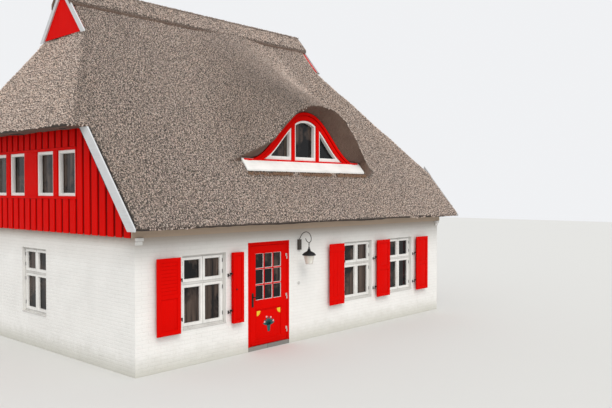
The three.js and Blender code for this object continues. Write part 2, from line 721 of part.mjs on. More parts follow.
function addShutter(name, windowIndex, side, geometry) {
  const edge = windowLefts[windowIndex] + (side < 0 ? 0 : windowWidth);
  const mesh = addPiece(name, geometry, looks.redPaint);
  mesh.position.set(edge + side * pinAside, frontFace - pinOut, 0);
}

addShutter('shutter_1_left', 0, -1, shutterLeaf(-1));
addShutter('shutter_1_right_folded', 0, 1, foldedLeaf());
addShutter('shutter_2_left', 1, -1, shutterLeaf(-1));
addShutter('shutter_2_right', 1, 1, shutterLeaf(1));
addShutter('shutter_3_right', 2, 1, shutterLeaf(1));

// Front door, opening outwards on three hinges at its right edge
const jamb = 65;
const doorFrameFace = 10; // behind the wall's face
const doorFrameDepth = 110;
const doorGap = 6;
const doorThickness = 45;
const doorFace = doorFrameFace + 2;
const leafLeft = doorway.left + jamb + doorGap;
const leafRight = doorway.right - jamb - doorGap;
const leafLow = groundFloorTop + doorGap;
const leafHigh = doorway.top - jamb - doorGap;
const barrelRadius = 8;
const barrelStandOff = 1.5; // clear of the frame's face
const doorPin = { x: leafRight + doorGap / 2, y: doorFrameFace - barrelRadius - barrelStandOff };
const doorHinges = [300, 965, 1765];
const hingeHalf = 55;
const hingeFlap = { width: 45, proud: 5, sunk: 1 };
const doorStop = 15; // the frame's lip behind the leaf
const lowerPanel = { low: 200, high: 780, sunk: 10 };
const paneRebate = { side: 10, from: 30 }; // behind the bars, for the glass

function hingePlate(side, z0, z1) {
  const face = side < 0 ? doorFace : doorFrameFace;
  const end = doorPin.x + side * hingeFlap.width;
  return block(Math.min(doorPin.x, end), Math.max(doorPin.x, end),
    face - hingeFlap.proud, face + hingeFlap.sunk, z0, z1);
}

function doorFrame() {
  const outer = block(doorway.left + touch, doorway.right - touch,
    doorFrameFace, doorFrameFace + doorFrameDepth, groundFloorTop + touch, doorway.top);
  const passage = block(doorway.left + jamb, doorway.right - jamb,
    doorFrameFace - past, doorFace + doorThickness + doorGap, groundFloorTop - past, doorway.top - jamb);
  const stop = jamb + doorStop + doorGap;
  const inner = block(doorway.left + stop, doorway.right - stop,
    doorFrameFace, doorFrameFace + doorFrameDepth + past, groundFloorTop - past, doorway.top - stop);
  const hinges = doorHinges.flatMap((z) => [
    hingePlate(1, z - hingeHalf, z - touch),
    post(doorPin.x, doorPin.y, z - hingeHalf, z - touch, barrelRadius)
  ]);
  return join(cut(outer, passage, inner), ...hinges);
}

const doorStile = 139;
const paneArea = { left: leafLeft + doorStile, right: leafRight - doorStile, low: 960, high: 1860 };
const paneBar = 22;

function doorPanes() {
  const wide = (paneArea.right - paneArea.left - 2 * paneBar) / 3;
  const tall = (paneArea.high - paneArea.low - 2 * paneBar) / 3;
  const panes = [];
  for (let column = 0; column < 3; column += 1) {
    for (let row = 0; row < 3; row += 1) {
      const x = paneArea.left + column * (wide + paneBar);
      const z = paneArea.low + row * (tall + paneBar);
      panes.push(block(x, x + wide, doorFace - past, doorFace + doorThickness + past, z, z + tall));
    }
  }
  return panes;
}

function doorLeaf() {
  const slab = block(leafLeft, leafRight, doorFace, doorFace + doorThickness, leafLow, leafHigh);
  const panel = block(paneArea.left, paneArea.right, doorFace - past, doorFace + lowerPanel.sunk,
    lowerPanel.low, lowerPanel.high);
  const rebateBehind = block(paneArea.left - paneRebate.side, paneArea.right + paneRebate.side,
    doorFace + paneRebate.from, doorFace + doorThickness + past,
    paneArea.low - paneRebate.side, paneArea.high + paneRebate.side);
  const hinges = doorHinges.flatMap((z) => [
    hingePlate(-1, z + touch, z + hingeHalf),
    post(doorPin.x, doorPin.y, z + touch, z + hingeHalf, barrelRadius)
  ]);
  return join(cut(slab, panel, rebateBehind, ...doorPanes()), ...hinges);
}

function doorGlass() {
  const lip = paneRebate.side - 1;
  const face = doorFace + paneRebate.from;
  return block(paneArea.left - lip, paneArea.right + lip, face + touch, face + pane, paneArea.low - lip,
    paneArea.high + lip);
}

const handlePlate = { left: leafLeft + 35, width: 45, thick: 8, low: 840, high: 1110 };
const lever = { z: 1030, halfHeight: 9, from: 12, to: 140, near: 44, far: 58 }; // from the plate's left edge

function doorHandle() {
  const { left, width, thick, low, high } = handlePlate;
  const face = doorFace - touch;
  const plate = block(left, left + width, face - thick, face, low, high);
  const neck = new THREE.CylinderGeometry(lever.halfHeight, lever.halfHeight, lever.far - thick, 12)
    .translate(left + width / 2, face - (lever.far + thick) / 2, lever.z);
  const grip = block(left + lever.from, left + lever.to, face - lever.far, face - lever.near,
    lever.z - lever.halfHeight, lever.z + lever.halfHeight);
  return join(plate, neck, grip);
}

const door = new THREE.Group();
door.position.set(0, frontFace, 0);
cottage.add(door);
addPiece('door_frame', doorFrame(), looks.redPaint, door);
addPiece('door_leaf', doorLeaf(), looks.redPaint, door);
addPiece('door_glass', doorGlass(), looks.glass, door);
addPiece('door_handle', doorHandle(), looks.blackIron, door);

// Wall lantern: crook bracket, iron cage with its cap, and a tapered glass
const lanternX = wallLeft + 3900;
const lanternOut = 290;
const lanternHangs = 1985;
const bracketPlate = { halfWidth: 40, thick: 48, low: 1870, high: 2080 };
const crookHook = { top: 2040, radius: 7, sides: 10 };
const crookRod = { radius: 8, steps: 56, sides: 8 };
const crookPoints = [ // out of the wall, and height
  [-24, 2040], [-28, 2085], [-55, 2130], [-105, 2195], [-170, 2232], [-240, 2238], [-310, 2200],
  [-348, 2130], [-340, 2060], [-lanternOut, 2030], [-235, 2050], [-195, 2105]
];

function rod(path, radius, steps, sides) {
  const round = new THREE.Shape().absarc(0, 0, radius, 0, 2 * Math.PI);
  return new THREE.ExtrudeGeometry(round, { steps, extrudePath: path, curveSegments: sides / 2 });
}

function bracket() {
  const { halfWidth, thick, low, high } = bracketPlate;
  const plate = block(lanternX - halfWidth, lanternX + halfWidth,
    frontFace - thick, frontFace - touch, low, high);
  const crook = new THREE.CatmullRomCurve3(
    crookPoints.map(([y, z]) => new THREE.Vector3(lanternX, frontFace + y, z)));
  const hook = post(lanternX, frontFace - lanternOut, lanternHangs + touch, crookHook.top,
    crookHook.radius, crookHook.sides);
  return join(plate, rod(crook, crookRod.radius, crookRod.steps, crookRod.sides), hook);
}

function lathe(points, sides = 24) {
  const solid = new THREE.LatheGeometry(points.map(([r, z]) => new THREE.Vector2(r, z)), sides);
  return solid.rotateX(Math.PI / 2).translate(lanternX, frontFace - lanternOut, 0);
}

const glassTop = { radius: 105, z: 1775 };
const glassFoot = { radius: 70, z: 1610 };
const glassWall = 4;
// Radius, and height above the glass
const capProfile = [[136, 0], [138, 14], [112, 42], [62, 72], [30, 86], [24, 125], [12, 165]];
const footProfile = [[25, 1588], [60, 1592]]; // radius and height
const cageRing = 76; // radius of the foot's rim
const stemRadius = 12;

function lanternBar(angle) {
  const outward = new THREE.Vector3(Math.cos(angle), Math.sin(angle), 0);
  const low = outward.clone().multiplyScalar(glassFoot.radius + 5).setZ(glassFoot.z - 8);
  const high = outward.clone().multiplyScalar(glassTop.radius + 7).setZ(glassTop.z + 6);
  return rod(new THREE.LineCurve3(low, high), 4, 1, 6).translate(lanternX, frontFace - lanternOut, 0);
}

function lanternCage() {
  const cap = lathe([[0, glassTop.z + touch],
    ...capProfile.map(([radius, up]) => [radius, glassTop.z + Math.max(touch, up)]),
    [stemRadius, lanternHangs], [0, lanternHangs]]);
  const footTop = glassFoot.z - touch;
  const foot = lathe([[0, footProfile[0][1]], ...footProfile, [cageRing, footTop], [0, footTop]]);
  const bars = [1, 3, 5, 7].map((eighth) => lanternBar((eighth * Math.PI) / 4));
  return join(cap, foot, ...bars);
}

addPiece('lantern_bracket', bracket(), looks.blackIron);
addPiece('lantern_cage', lanternCage(), looks.blackIron);
addPiece('lantern_glass', lathe([
  [glassFoot.radius, glassFoot.z], [glassTop.radius, glassTop.z], [glassTop.radius - glassWall, glassTop.z],
  [glassFoot.radius - glassWall, glassFoot.z], [glassFoot.radius, glassFoot.z]
]), looks.glass);

export default cottage;
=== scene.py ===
# %% [markdown]
# # A thatched cottage, dressed in Blender
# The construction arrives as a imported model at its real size: walls, floors, frames, glass, door and
# shutters. This notebook gives it its looks. It never moves what arrives. It hides a plain piece and
# stands a finer one in the same place, or lays a finish over it. All lengths are metres, the ground is
# at zero, the front faces -Y, and the ridge runs along X.

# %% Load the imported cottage
import json
import math

import bmesh
import bpy
import numpy as np
from mathutils import Matrix, Vector

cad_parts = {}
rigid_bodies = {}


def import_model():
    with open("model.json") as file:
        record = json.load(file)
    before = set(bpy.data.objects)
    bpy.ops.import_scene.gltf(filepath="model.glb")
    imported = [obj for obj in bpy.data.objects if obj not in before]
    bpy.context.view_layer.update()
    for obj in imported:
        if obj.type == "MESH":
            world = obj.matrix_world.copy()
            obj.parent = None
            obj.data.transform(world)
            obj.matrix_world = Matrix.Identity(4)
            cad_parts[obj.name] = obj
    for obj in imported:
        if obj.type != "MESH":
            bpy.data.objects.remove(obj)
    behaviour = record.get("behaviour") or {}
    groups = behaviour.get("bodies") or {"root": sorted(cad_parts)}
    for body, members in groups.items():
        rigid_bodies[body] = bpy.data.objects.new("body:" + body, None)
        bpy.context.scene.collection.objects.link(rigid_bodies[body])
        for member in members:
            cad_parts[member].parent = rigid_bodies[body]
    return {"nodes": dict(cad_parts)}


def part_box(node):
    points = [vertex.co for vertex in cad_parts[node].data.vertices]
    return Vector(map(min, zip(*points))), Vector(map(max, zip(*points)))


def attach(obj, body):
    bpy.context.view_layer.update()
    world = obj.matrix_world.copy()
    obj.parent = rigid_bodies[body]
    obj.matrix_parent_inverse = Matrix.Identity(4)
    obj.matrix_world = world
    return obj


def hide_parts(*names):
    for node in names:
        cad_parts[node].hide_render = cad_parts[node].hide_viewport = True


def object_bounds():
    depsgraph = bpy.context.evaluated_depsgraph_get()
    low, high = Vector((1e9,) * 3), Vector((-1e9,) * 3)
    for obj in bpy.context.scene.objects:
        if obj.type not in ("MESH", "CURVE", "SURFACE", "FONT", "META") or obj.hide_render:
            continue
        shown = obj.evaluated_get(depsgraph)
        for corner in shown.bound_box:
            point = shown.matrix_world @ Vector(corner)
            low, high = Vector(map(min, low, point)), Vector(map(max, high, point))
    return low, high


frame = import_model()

cad_low, cad_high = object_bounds()
print("The cottage measures", [round(high - low, 2) for low, high in zip(cad_low, cad_high)], "m")

# %% [markdown]
# ## Sizes that everything follows
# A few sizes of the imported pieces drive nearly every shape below: the faces of the walls, the eave, and
# for each end of the roof its verge, the lip of its half-hip and its small gablet. They are read here
# once. The thatch is half a metre thick, measured upright, and the ridge is where its slopes would meet.

# %% Walls, eave, ridge and the two ends of the roof
wall_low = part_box("front_wall_left")[0]
wall_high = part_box("back_wall")[1]
slope_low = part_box("thatch_front")[0]
left_hip_low, left_hip_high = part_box("thatch_left_half_hip")
right_hip_low, right_hip_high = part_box("thatch_right_half_hip")
eave_height, eave_reach = slope_low.z, -slope_low.y
ridge_height, gablet_height = 7.26, 6.27
pitch = (ridge_height - eave_height) / eave_reach
slope_length = math.hypot(1, pitch)
thatch_drop = 0.5
ends = [
    {"word": "left", "side": -1, "verge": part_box("left_front_barge_board")[1].x, "lip": left_hip_low.x,
     "lip_height": left_hip_low.z, "gablet": left_hip_high.x, "inset": 0.37},
    {"word": "right", "side": 1, "verge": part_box("right_front_barge_board")[0].x, "lip": right_hip_high.x,
     "lip_height": right_hip_low.z, "gablet": right_hip_low.x, "inset": 0.423},
]
print("Roof pitch", round(math.degrees(math.atan(pitch)), 1), "degrees")

# %% [markdown]
# ## The camera
# The photograph was taken by someone standing high in front of the left corner. The vanishing points of
# the front wall gave the heading and the focal length. A long way of finding them would be to match
# points by hand in the viewport. Here the numbers are simply written down.

# %% Camera at the photograph's viewing angle
photo_width = 612
focal_pixels = 695
heading = math.radians(47.4)
tip_down = math.radians(1.07)

camera_data = bpy.data.cameras.new("camera")
camera_data.sensor_width = 36
camera_data.lens = focal_pixels / photo_width * camera_data.sensor_width
camera_data.clip_end = 200
camera = bpy.data.objects.new("camera", camera_data)
camera.location = (-10.95, -13.215, 3.066)
camera.rotation_euler = (math.pi / 2 - tip_down, 0, -heading)
bpy.context.scene.collection.objects.link(camera)
bpy.context.scene.camera = camera
print("Lens", round(camera_data.lens, 1), "mm")

# %% [markdown]
# ## Floor and light
# The sky in the photograph is bright and overcast, so nearly all light comes from everywhere. A pale
# world does that by itself and darkens the wall under the eave for free, and the masonry's finish adds
# painted shade there too. One very soft sun from the front left adds just enough direction to model the
# hood and the reed ends.

# %% Pale floor, soft sky and one soft sun
def plain_material(name, colour, roughness):
    """One even colour, for what isn't part of the cottage."""
    material = bpy.data.materials.new(name)
    material.use_nodes = True
    shader = material.node_tree.nodes["Principled BSDF"]
    shader.inputs["Base Color"].default_value = (*colour, 1)
    shader.inputs["Roughness"].default_value = roughness
    return material


floor_reach = 60
floor_mesh = bpy.data.meshes.new("studio_floor")
floor_mesh.from_pydata([(x, y, 0) for x, y in ((-1, -1), (1, -1), (1, 1), (-1, 1))], [], [(0, 1, 2, 3)])
floor_mesh.transform(Matrix.Scale(floor_reach, 4))
floor_mesh.materials.append(plain_material("studio_floor", (0.62, 0.62, 0.6), 0.9))
floor = bpy.data.objects.new("studio_floor", floor_mesh)
bpy.context.scene.collection.objects.link(floor)

sky = bpy.data.worlds.new("overcast_sky")
sky.use_nodes = True
sky_light = sky.node_tree.nodes["Background"]
sky_light.inputs["Color"].default_value = (0.97, 0.98, 1.0, 1)
sky_light.inputs["Strength"].default_value = 0.9
bpy.context.scene.world = sky

sun_data = bpy.data.lights.new("soft_sun", "SUN")
sun_data.energy = 1.6
sun_data.angle = math.radians(35)
sun_data.color = (1.0, 0.97, 0.93)
sun = bpy.data.objects.new("soft_sun", sun_data)
sun.rotation_euler = (math.radians(42), 0, math.radians(-28))
bpy.context.scene.collection.objects.link(sun)

bpy.context.scene.view_settings.view_transform = "Standard"
print("Lit by", sky.name, "and", sun.name)

# %% [markdown]
# ## Small tools for finishes
# Every finish here is made of nodes. Wiring nodes by hand takes three lines for each wire, so one
# helper adds a node, sets it and wires it at once, and a few more wrap the nodes used most.

# %% Helpers that add and wire shader nodes
def put(tree, kind, settings=None, inputs=None):
    """Adds a node, sets its settings, then fills or wires its inputs by name or number."""
    node = tree.nodes.new(kind)
    for name, value in (settings or {}).items():
        setattr(node, name, value)
    for name, value in (inputs or {}).items():
        socket = node.inputs[name]
        if isinstance(value, bpy.types.NodeSocket):
            tree.links.new(value, socket)
        else:
            socket.default_value = value
    return node


def math_of(tree, operation, first, second=0.0):
    """The result of one sum with two values."""
    return put(tree, "ShaderNodeMath", {"operation": operation}, {0: first, 1: second}).outputs[0]


def ranged(tree, value, low, high, to_low=0.0, to_high=1.0):
    """A value that goes evenly from one end to the other between two limits, and stays there beyond."""
    names = {"Value": value, "From Min": low, "From Max": high, "To Min": to_low, "To Max": to_high}
    return put(tree, "ShaderNodeMapRange", None, names).outputs["Result"]


def mixed(tree, mask, first, second):
    """One colour where the mask is 0, the other where it is 1."""
    first, second = [c if isinstance(c, bpy.types.NodeSocket) else (*c, 1) for c in (first, second)]
    node = put(tree, "ShaderNodeMix", {"data_type": "RGBA"}, {0: mask, 6: first, 7: second})
    return node.outputs[2]


def effect(name, inputs, outputs):
    """An empty node group with named sockets. Returns its tree, what it is given and what it gives."""
    tree = bpy.data.node_groups.new(name, "ShaderNodeTree")
    for label, value in inputs.items():
        kind = "NodeSocketVector" if isinstance(value, tuple) else "NodeSocketFloat"
        tree.interface.new_socket(label, in_out="INPUT", socket_type=kind).default_value = value
    for label in outputs:
        tree.interface.new_socket(label, in_out="OUTPUT", socket_type="NodeSocketFloat")
    return tree, put(tree, "NodeGroupInput").outputs, put(tree, "NodeGroupOutput").inputs


def use(tree, group, **inputs):
    """A shared effect with its own settings. Returns what it gives."""
    node = put(tree, "ShaderNodeGroup", {"node_tree": group})
    for name, value in inputs.items():
        node.inputs[name].default_value = value
    return node.outputs


def finish_of(name, metallic=0.0, shine=0.5):
    """A new material. Returns it with its tree and the inputs of its surface shader."""
    material = bpy.data.materials.new(name)
    material.use_nodes = True
    shader = material.node_tree.nodes["Principled BSDF"]
    shader.inputs["Metallic"].default_value = metallic
    shader.inputs["Specular IOR Level"].default_value = shine
    return material, material.node_tree, shader.inputs


def wire(tree, source, target):
    tree.links.new(source, target)


def raised(tree, height, depth):
    """The normal of a surface that stands out by depth where the height is 1."""
    return put(tree, "ShaderNodeBump", None, {"Height": height, "Distance": depth}).outputs["Normal"]


def place_in(tree):
    """Where a point lies, in metres from the cottage's origin."""
    return put(tree, "ShaderNodeTexCoord").outputs["Object"]


def parts_of(tree, vector):
    """The X, Y and Z of a vector."""
    return put(tree, "ShaderNodeSeparateXYZ", None, {0: vector}).outputs


def noise(tree, place, scale, detail, roughness=0.5, distortion=0.0):
    """Cloudy values around a half. A higher scale makes smaller clouds."""
    settings = {"Vector": place, "Scale": scale, "Detail": detail, "Roughness": roughness,
                "Distortion": distortion}
    return put(tree, "ShaderNodeTexNoise", None, settings).outputs["Fac"]


# %% [markdown]
# ## Effects that several finishes share
# Old paint, reed and iron differ in colour, but they age in the same ways. Each way is one node group:
# cloudy patches, the splashed and greened foot of a wall, the long grain of wood, and the fine speckle
# of a rough face. Building each once keeps them alike, and every finish turns its own knobs.

# %% Patches, splashed foot, grain and speckle
patches, given, wanted = effect("weather_patches", {"Scale": 1.0, "Low": 0.42, "High": 0.62}, ["Mask"])
cloud = noise(patches, place_in(patches), given["Scale"], 5.0, 0.62)
wire(patches, ranged(patches, cloud, given["Low"], given["High"]), wanted["Mask"])

splashed, given, wanted = effect("splashed_foot", {"Height": 0.4, "Amount": 1.0}, ["Mask"])
place = place_in(splashed)
ragged = math_of(splashed, "ADD", noise(splashed, place, 6.0, 6.0), 0.5)
reach = math_of(splashed, "MULTIPLY", given["Height"], ragged)
low_down = ranged(splashed, parts_of(splashed, place)["Z"], 0.0, reach, 1.0, 0.0)
wire(splashed, math_of(splashed, "MULTIPLY", low_down, given["Amount"]), wanted["Mask"])

along_grain = {"Stretch": (60.0, 60.0, 2.0), "Low": 0.35, "High": 0.7}
grain, given, wanted = effect("wood_grain", along_grain, ["Streak"])
factors = {0: place_in(grain), 1: given["Stretch"]}
drawn = put(grain, "ShaderNodeVectorMath", {"operation": "MULTIPLY"}, factors).outputs[0]
fibres = noise(grain, drawn, 1.0, 4.0, 0.7, 0.3)
wire(grain, ranged(grain, fibres, given["Low"], given["High"]), wanted["Streak"])

speckle, given, wanted = effect("fine_speckle", {"Scale": 150.0, "Low": 0.3, "High": 0.7}, ["Mask"])
dots = noise(speckle, place_in(speckle), given["Scale"], 2.0)
wire(speckle, ranged(speckle, dots, given["Low"], given["High"]), wanted["Mask"])
print("Shared effects:", [group.name for group in bpy.data.node_groups])

# %% [markdown]
# ## White masonry, red wood and white wood
# The bricks carry many coats of white paint: bright on the brick faces, duller in the joints, slightly
# green and grey near the ground, and browned right under the eave, where the eave's shadow is painted in.
# The woodwork has a strong signal red and a white, both brushed along the grain, so the grain must run the
# way each board lies. One function makes a painted wood for any direction.

# %% Painted brick and its joints
# Painted shade: the eave's shadow, painted brown into the top of the walls between these heights.
dense_eave_shade, faint_eave_shade = (2.10, 2.31), (1.75, 2.25)
eave_shade_colour, moss_colour = (0.33, 0.265, 0.205), (0.36, 0.35, 0.27)


def painted_brick(name, bright, dull, eave_shade=1.0):
    """White paint in two tones, browned by a share of painted eave shade between two pairs of heights."""
    material, tree, surface = finish_of(name)
    cloudy = use(tree, patches, Scale=1.3, Low=0.35, High=0.7)["Mask"]
    near_ground = use(tree, splashed, Height=0.35, Amount=0.55)["Mask"]
    wall_colour = mixed(tree, cloudy, bright, dull)
    height = parts_of(tree, place_in(tree))["Z"]
    dense = ranged(tree, height, *dense_eave_shade, 0.0, 0.58 * eave_shade)
    faint = ranged(tree, height, *faint_eave_shade, 0.0, 0.3 * eave_shade)
    eave_shaded = mixed(tree, math_of(tree, "ADD", dense, faint), wall_colour, eave_shade_colour)
    wire(tree, mixed(tree, near_ground, eave_shaded, moss_colour), surface["Base Color"])
    pits = use(tree, speckle, Scale=90.0, Low=0.25, High=0.75)["Mask"]
    wire(tree, ranged(tree, pits, 0.0, 1.0, 0.7, 0.9), surface["Roughness"])
    wire(tree, raised(tree, pits, 0.0025), surface["Normal"])
    return material


brick_finish = painted_brick("painted_brick", (0.86, 0.85, 0.82), (0.79, 0.78, 0.75))
joint_finish = painted_brick("painted_joints", (0.83, 0.82, 0.79), (0.75, 0.74, 0.71))
corbel_finish = painted_brick("painted_corbels", (0.88, 0.87, 0.84), (0.80, 0.79, 0.76), 0.1)
print("Masonry finishes are ready")

# %% Painted wood, with the grain along one axis
along_x = (2.0, 60.0, 60.0)
along_y = (60.0, 2.0, 60.0)
along_z = (60.0, 60.0, 2.0)


def painted_wood(name, fresh, worn, stretch, shine, wear=0.5):
    """Brushed paint that fades in streaks within cloudy patches, and is splashed at its foot."""
    material, tree, surface = finish_of(name, shine=shine)
    streak = use(tree, grain, Stretch=stretch, Low=0.35, High=0.72)["Streak"]
    cloudy = use(tree, patches, Scale=2.3, Low=0.4, High=0.75)["Mask"]
    aged = math_of(tree, "MULTIPLY", streak, math_of(tree, "MULTIPLY", cloudy, wear))
    foot = use(tree, splashed, Height=0.25, Amount=0.4)["Mask"]
    brushed = mixed(tree, aged, fresh, worn)
    wire(tree, mixed(tree, foot, brushed, [0.6 * c for c in worn]), surface["Base Color"])
    wire(tree, ranged(tree, streak, 0.0, 1.0, 0.38, 0.6), surface["Roughness"])
    wire(tree, raised(tree, streak, 0.0012), surface["Normal"])
    return material


red, dark_red = (0.68, 0.0025, 0.001), (0.42, 0.004, 0.002)
white, grey_white = (0.84, 0.83, 0.80), (0.46, 0.44, 0.41)
shaded_white, shaded_grey = (0.60, 0.61, 0.62), (0.36, 0.36, 0.36)
eave_shade_brown, eave_shade_dark = (0.50, 0.385, 0.29), (0.38, 0.285, 0.21)
dull_red, deep_red = (0.19, 0.004, 0.003), (0.10, 0.004, 0.003)
old_white, old_grey = (0.66, 0.65, 0.62), (0.30, 0.28, 0.26)
red_upright = painted_wood("red_wood_upright", red, dark_red, along_z, 0.02, 0.4)
red_level = painted_wood("red_wood_level", red, dark_red, along_x, 0.02, 0.4)
# The boarding behind the boards is painted a deep dull red: painted shade in the open joints.
red_shaded = painted_wood("red_wood_shaded_behind", dull_red, deep_red, along_z, 0.05)
white_upright = painted_wood("white_wood_upright", white, grey_white, along_z, 0.3, 0.7)
white_level = painted_wood("white_wood_level", white, grey_white, along_x, 0.3, 0.7)
white_sloping = painted_wood("white_wood_sloping", shaded_white, shaded_grey, along_y, 0.3, 0.6)
white_old = painted_wood("white_wood_weathered", old_white, old_grey, along_z, 0.0, 0.95)
# The board under the eave is painted brown: painted shade of the eave above it.
shaded_eave_board = painted_wood("shaded_eave_board", eave_shade_brown, eave_shade_dark, along_x, 0.1, 0.6)
print("Painted finishes are ready")

# %% [markdown]
# ## Reed thatch
# Seen from below, a reed roof is a stipple: pale cut reed ends over gaps in shade, as fine as coarse
# sand, under soft patches of grey and brown. The shade in the gaps is painted into the colour. Where the
# reeds are cut off, under the eave and inside the hood, the surface is smoother and browner. One finish
# serves both and chooses by which way the surface faces. The loose reed ends get a finish of their own
# that goes from a root dark with painted shade to a pale tip.

# %% Colours of reed
def reed_colours(tree, tone):
    """Mid, pale and dark reed under large patches of weathering, with painted shade in the gaps between
    bundles.
    """
    large = use(tree, patches, Scale=0.55, Low=0.38, High=0.66)["Mask"]
    small = use(tree, patches, Scale=3.2, Low=0.35, High=0.7)["Mask"]
    warm = mixed(tree, large, (0.86, 0.665, 0.55), (0.77, 0.605, 0.52))
    mottled = mixed(tree, math_of(tree, "MULTIPLY", small, 0.4), warm, (0.50, 0.405, 0.35))
    bundled = mixed(tree, tone, mottled, (0.99, 0.86, 0.76))
    gaps = use(tree, speckle, Scale=30.0, Low=0.49, High=0.60)["Mask"]
    return mixed(tree, math_of(tree, "MULTIPLY", gaps, 0.72), bundled, (0.13, 0.105, 0.088))


def stippled_reed(tree):
    """The stipple of cut ends seen from above, with painted shade between the ends, and the colours it
    gives.
    """
    stalks = put(tree, "ShaderNodeTexVoronoi", {"feature": "F1"}, {"Vector": place_in(tree), "Scale": 42.0})
    dot = ranged(tree, stalks.outputs["Distance"], 0.15, 0.62, 1.0, 0.0)
    fine = use(tree, speckle, Scale=160.0, Low=0.3, High=0.7)["Mask"]
    stipple = math_of(tree, "MULTIPLY", dot, math_of(tree, "ADD", fine, 0.35))
    pale = reed_colours(tree, math_of(tree, "MULTIPLY", fine, 0.3))
    return stipple, mixed(tree, stipple, (0.07, 0.058, 0.048), pale)


# %% Where the thatch is cut, and where it lies in shadow
flank_starts = 4.3
eave_edge_low, eave_edge_high = 0.03, 0.075
shadow_near, shadow_far = 0.03, 0.055


def cut_reed(tree, streak, place, facing):
    """Brown reed seen side on, in shadow along the eave's edge and on the flanks of the verges."""
    cloudy = use(tree, patches, Scale=2.6, Low=0.35, High=0.7)["Mask"]
    brown = mixed(tree, cloudy, (0.25, 0.165, 0.12), (0.19, 0.115, 0.09))
    streaked = mixed(tree, streak, (0.115, 0.072, 0.052), brown)
    sideways = ranged(tree, math_of(tree, "ABSOLUTE", facing["X"]), 0.6, 0.85)
    at_verge = math_of(tree, "GREATER_THAN", math_of(tree, "ABSOLUTE", place["X"]), flank_starts)
    at_eave = ranged(tree, place["Z"], eave_height + eave_edge_low, eave_height + eave_edge_high, 1.0, 0.0)
    shadowed = math_of(tree, "MAXIMUM", math_of(tree, "MULTIPLY", sideways, at_verge), at_eave)
    return mixed(tree, shadowed, streaked, (0.06, 0.048, 0.04))


def verge_shadow(tree, place):
    """1 in the painted shadow between the thatch and a barge board, below the half-hips."""
    left, right = ends[0]["verge"], ends[1]["verge"]
    beside_left = ranged(tree, place["X"], left + shadow_near, left + shadow_far, 1.0, 0.0)
    beside_right = ranged(tree, place["X"], right - shadow_far, right - shadow_near, 0.0, 1.0)
    below_hip = math_of(tree, "LESS_THAN", place["Z"], ends[0]["lip_height"])
    return math_of(tree, "MULTIPLY", math_of(tree, "MAXIMUM", beside_left, beside_right), below_hip)


# %% Finishes of the thatch
def thatch_skin_finish():
    """Stippled where the surface faces up, brown and streaked where the reeds are cut off."""
    material, tree, surface = finish_of("reed_thatch")
    place = parts_of(tree, place_in(tree))
    facing = parts_of(tree, put(tree, "ShaderNodeNewGeometry").outputs["Normal"])
    stipple, open_reed = stippled_reed(tree)
    streak = use(tree, grain, Stretch=(140.0, 10.0, 10.0), Low=0.3, High=0.7)["Streak"]
    cut_face = ranged(tree, facing["Z"], 0.05, 0.3, 1.0, 0.0)
    skin = mixed(tree, cut_face, open_reed, cut_reed(tree, streak, place, facing))
    painted_verge_shadow = verge_shadow(tree, place)
    # Painted shadow: the dark line beside each barge board.
    wire(tree, mixed(tree, painted_verge_shadow, skin, (0.035, 0.028, 0.024)), surface["Base Color"])
    surface["Roughness"].default_value = 0.95
    wire(tree, raised(tree, math_of(tree, "ADD", stipple, streak), 0.012), surface["Normal"])
    return material


def carried(tree, name):
    """A value that every point of the mesh carries."""
    return put(tree, "ShaderNodeAttribute", {"attribute_name": name}).outputs["Fac"]


def reed_end_finish(name, pale_share, stained=0.0):
    """Loose reed ends: painted shade at the root, paler at the tip, each with its own tone, darker where
    flat.
    """
    material, tree, surface = finish_of(name)
    tone = math_of(tree, "POWER", carried(tree, "tone"), 2.0)
    reeds = reed_colours(tree, math_of(tree, "MULTIPLY", tone, pale_share))
    # Where the roof lies flat the reed is darker: partly damp, partly painted shade against brighter sky
    # light.
    damp_and_shade = math_of(tree, "MULTIPLY", carried(tree, "damp_and_shade"), 0.55)
    weathered = mixed(tree, damp_and_shade, reeds, (0.27, 0.215, 0.18))
    stalk = mixed(tree, stained, weathered, (0.30, 0.15, 0.06))
    # Painted shade: each reed end is near-black at its root, where it meets the thatch.
    towards_tip = ranged(tree, carried(tree, "tip"), 0.25, 0.9)
    wire(tree, mixed(tree, towards_tip, (0.06, 0.046, 0.038), stalk), surface["Base Color"])
    fibre = use(tree, speckle, Scale=300.0, Low=0.3, High=0.7)["Mask"]
    wire(tree, ranged(tree, fibre, 0.0, 1.0, 0.8, 1.0), surface["Roughness"])
    wire(tree, raised(tree, fibre, 0.002), surface["Normal"])
    return material


thatch_finish = thatch_skin_finish()
reed_finish = reed_end_finish("reed_ends", 1.0)
print("Thatch finishes are ready")

# %% [markdown]
# ## Small tools for shapes
# Most of a house is boards and frames. A prism is any outline given a thickness, and a frame is the
# room between two outlines. Points and faces are gathered in a heap, and the heap becomes one mesh, so
# a wall of a thousand bricks is still one object. A bevel modifier then softens every edge, because no
# painted board has a razor edge.

# %% Prisms, frames and the heap that gathers them
def band(first, second, count, closed=True):
    """Quads between two rows of points, each row given by the number of its first point."""
    return [(first + i, first + (i + 1) % count, second + (i + 1) % count, second + i)
            for i in range(count if closed else count - 1)]


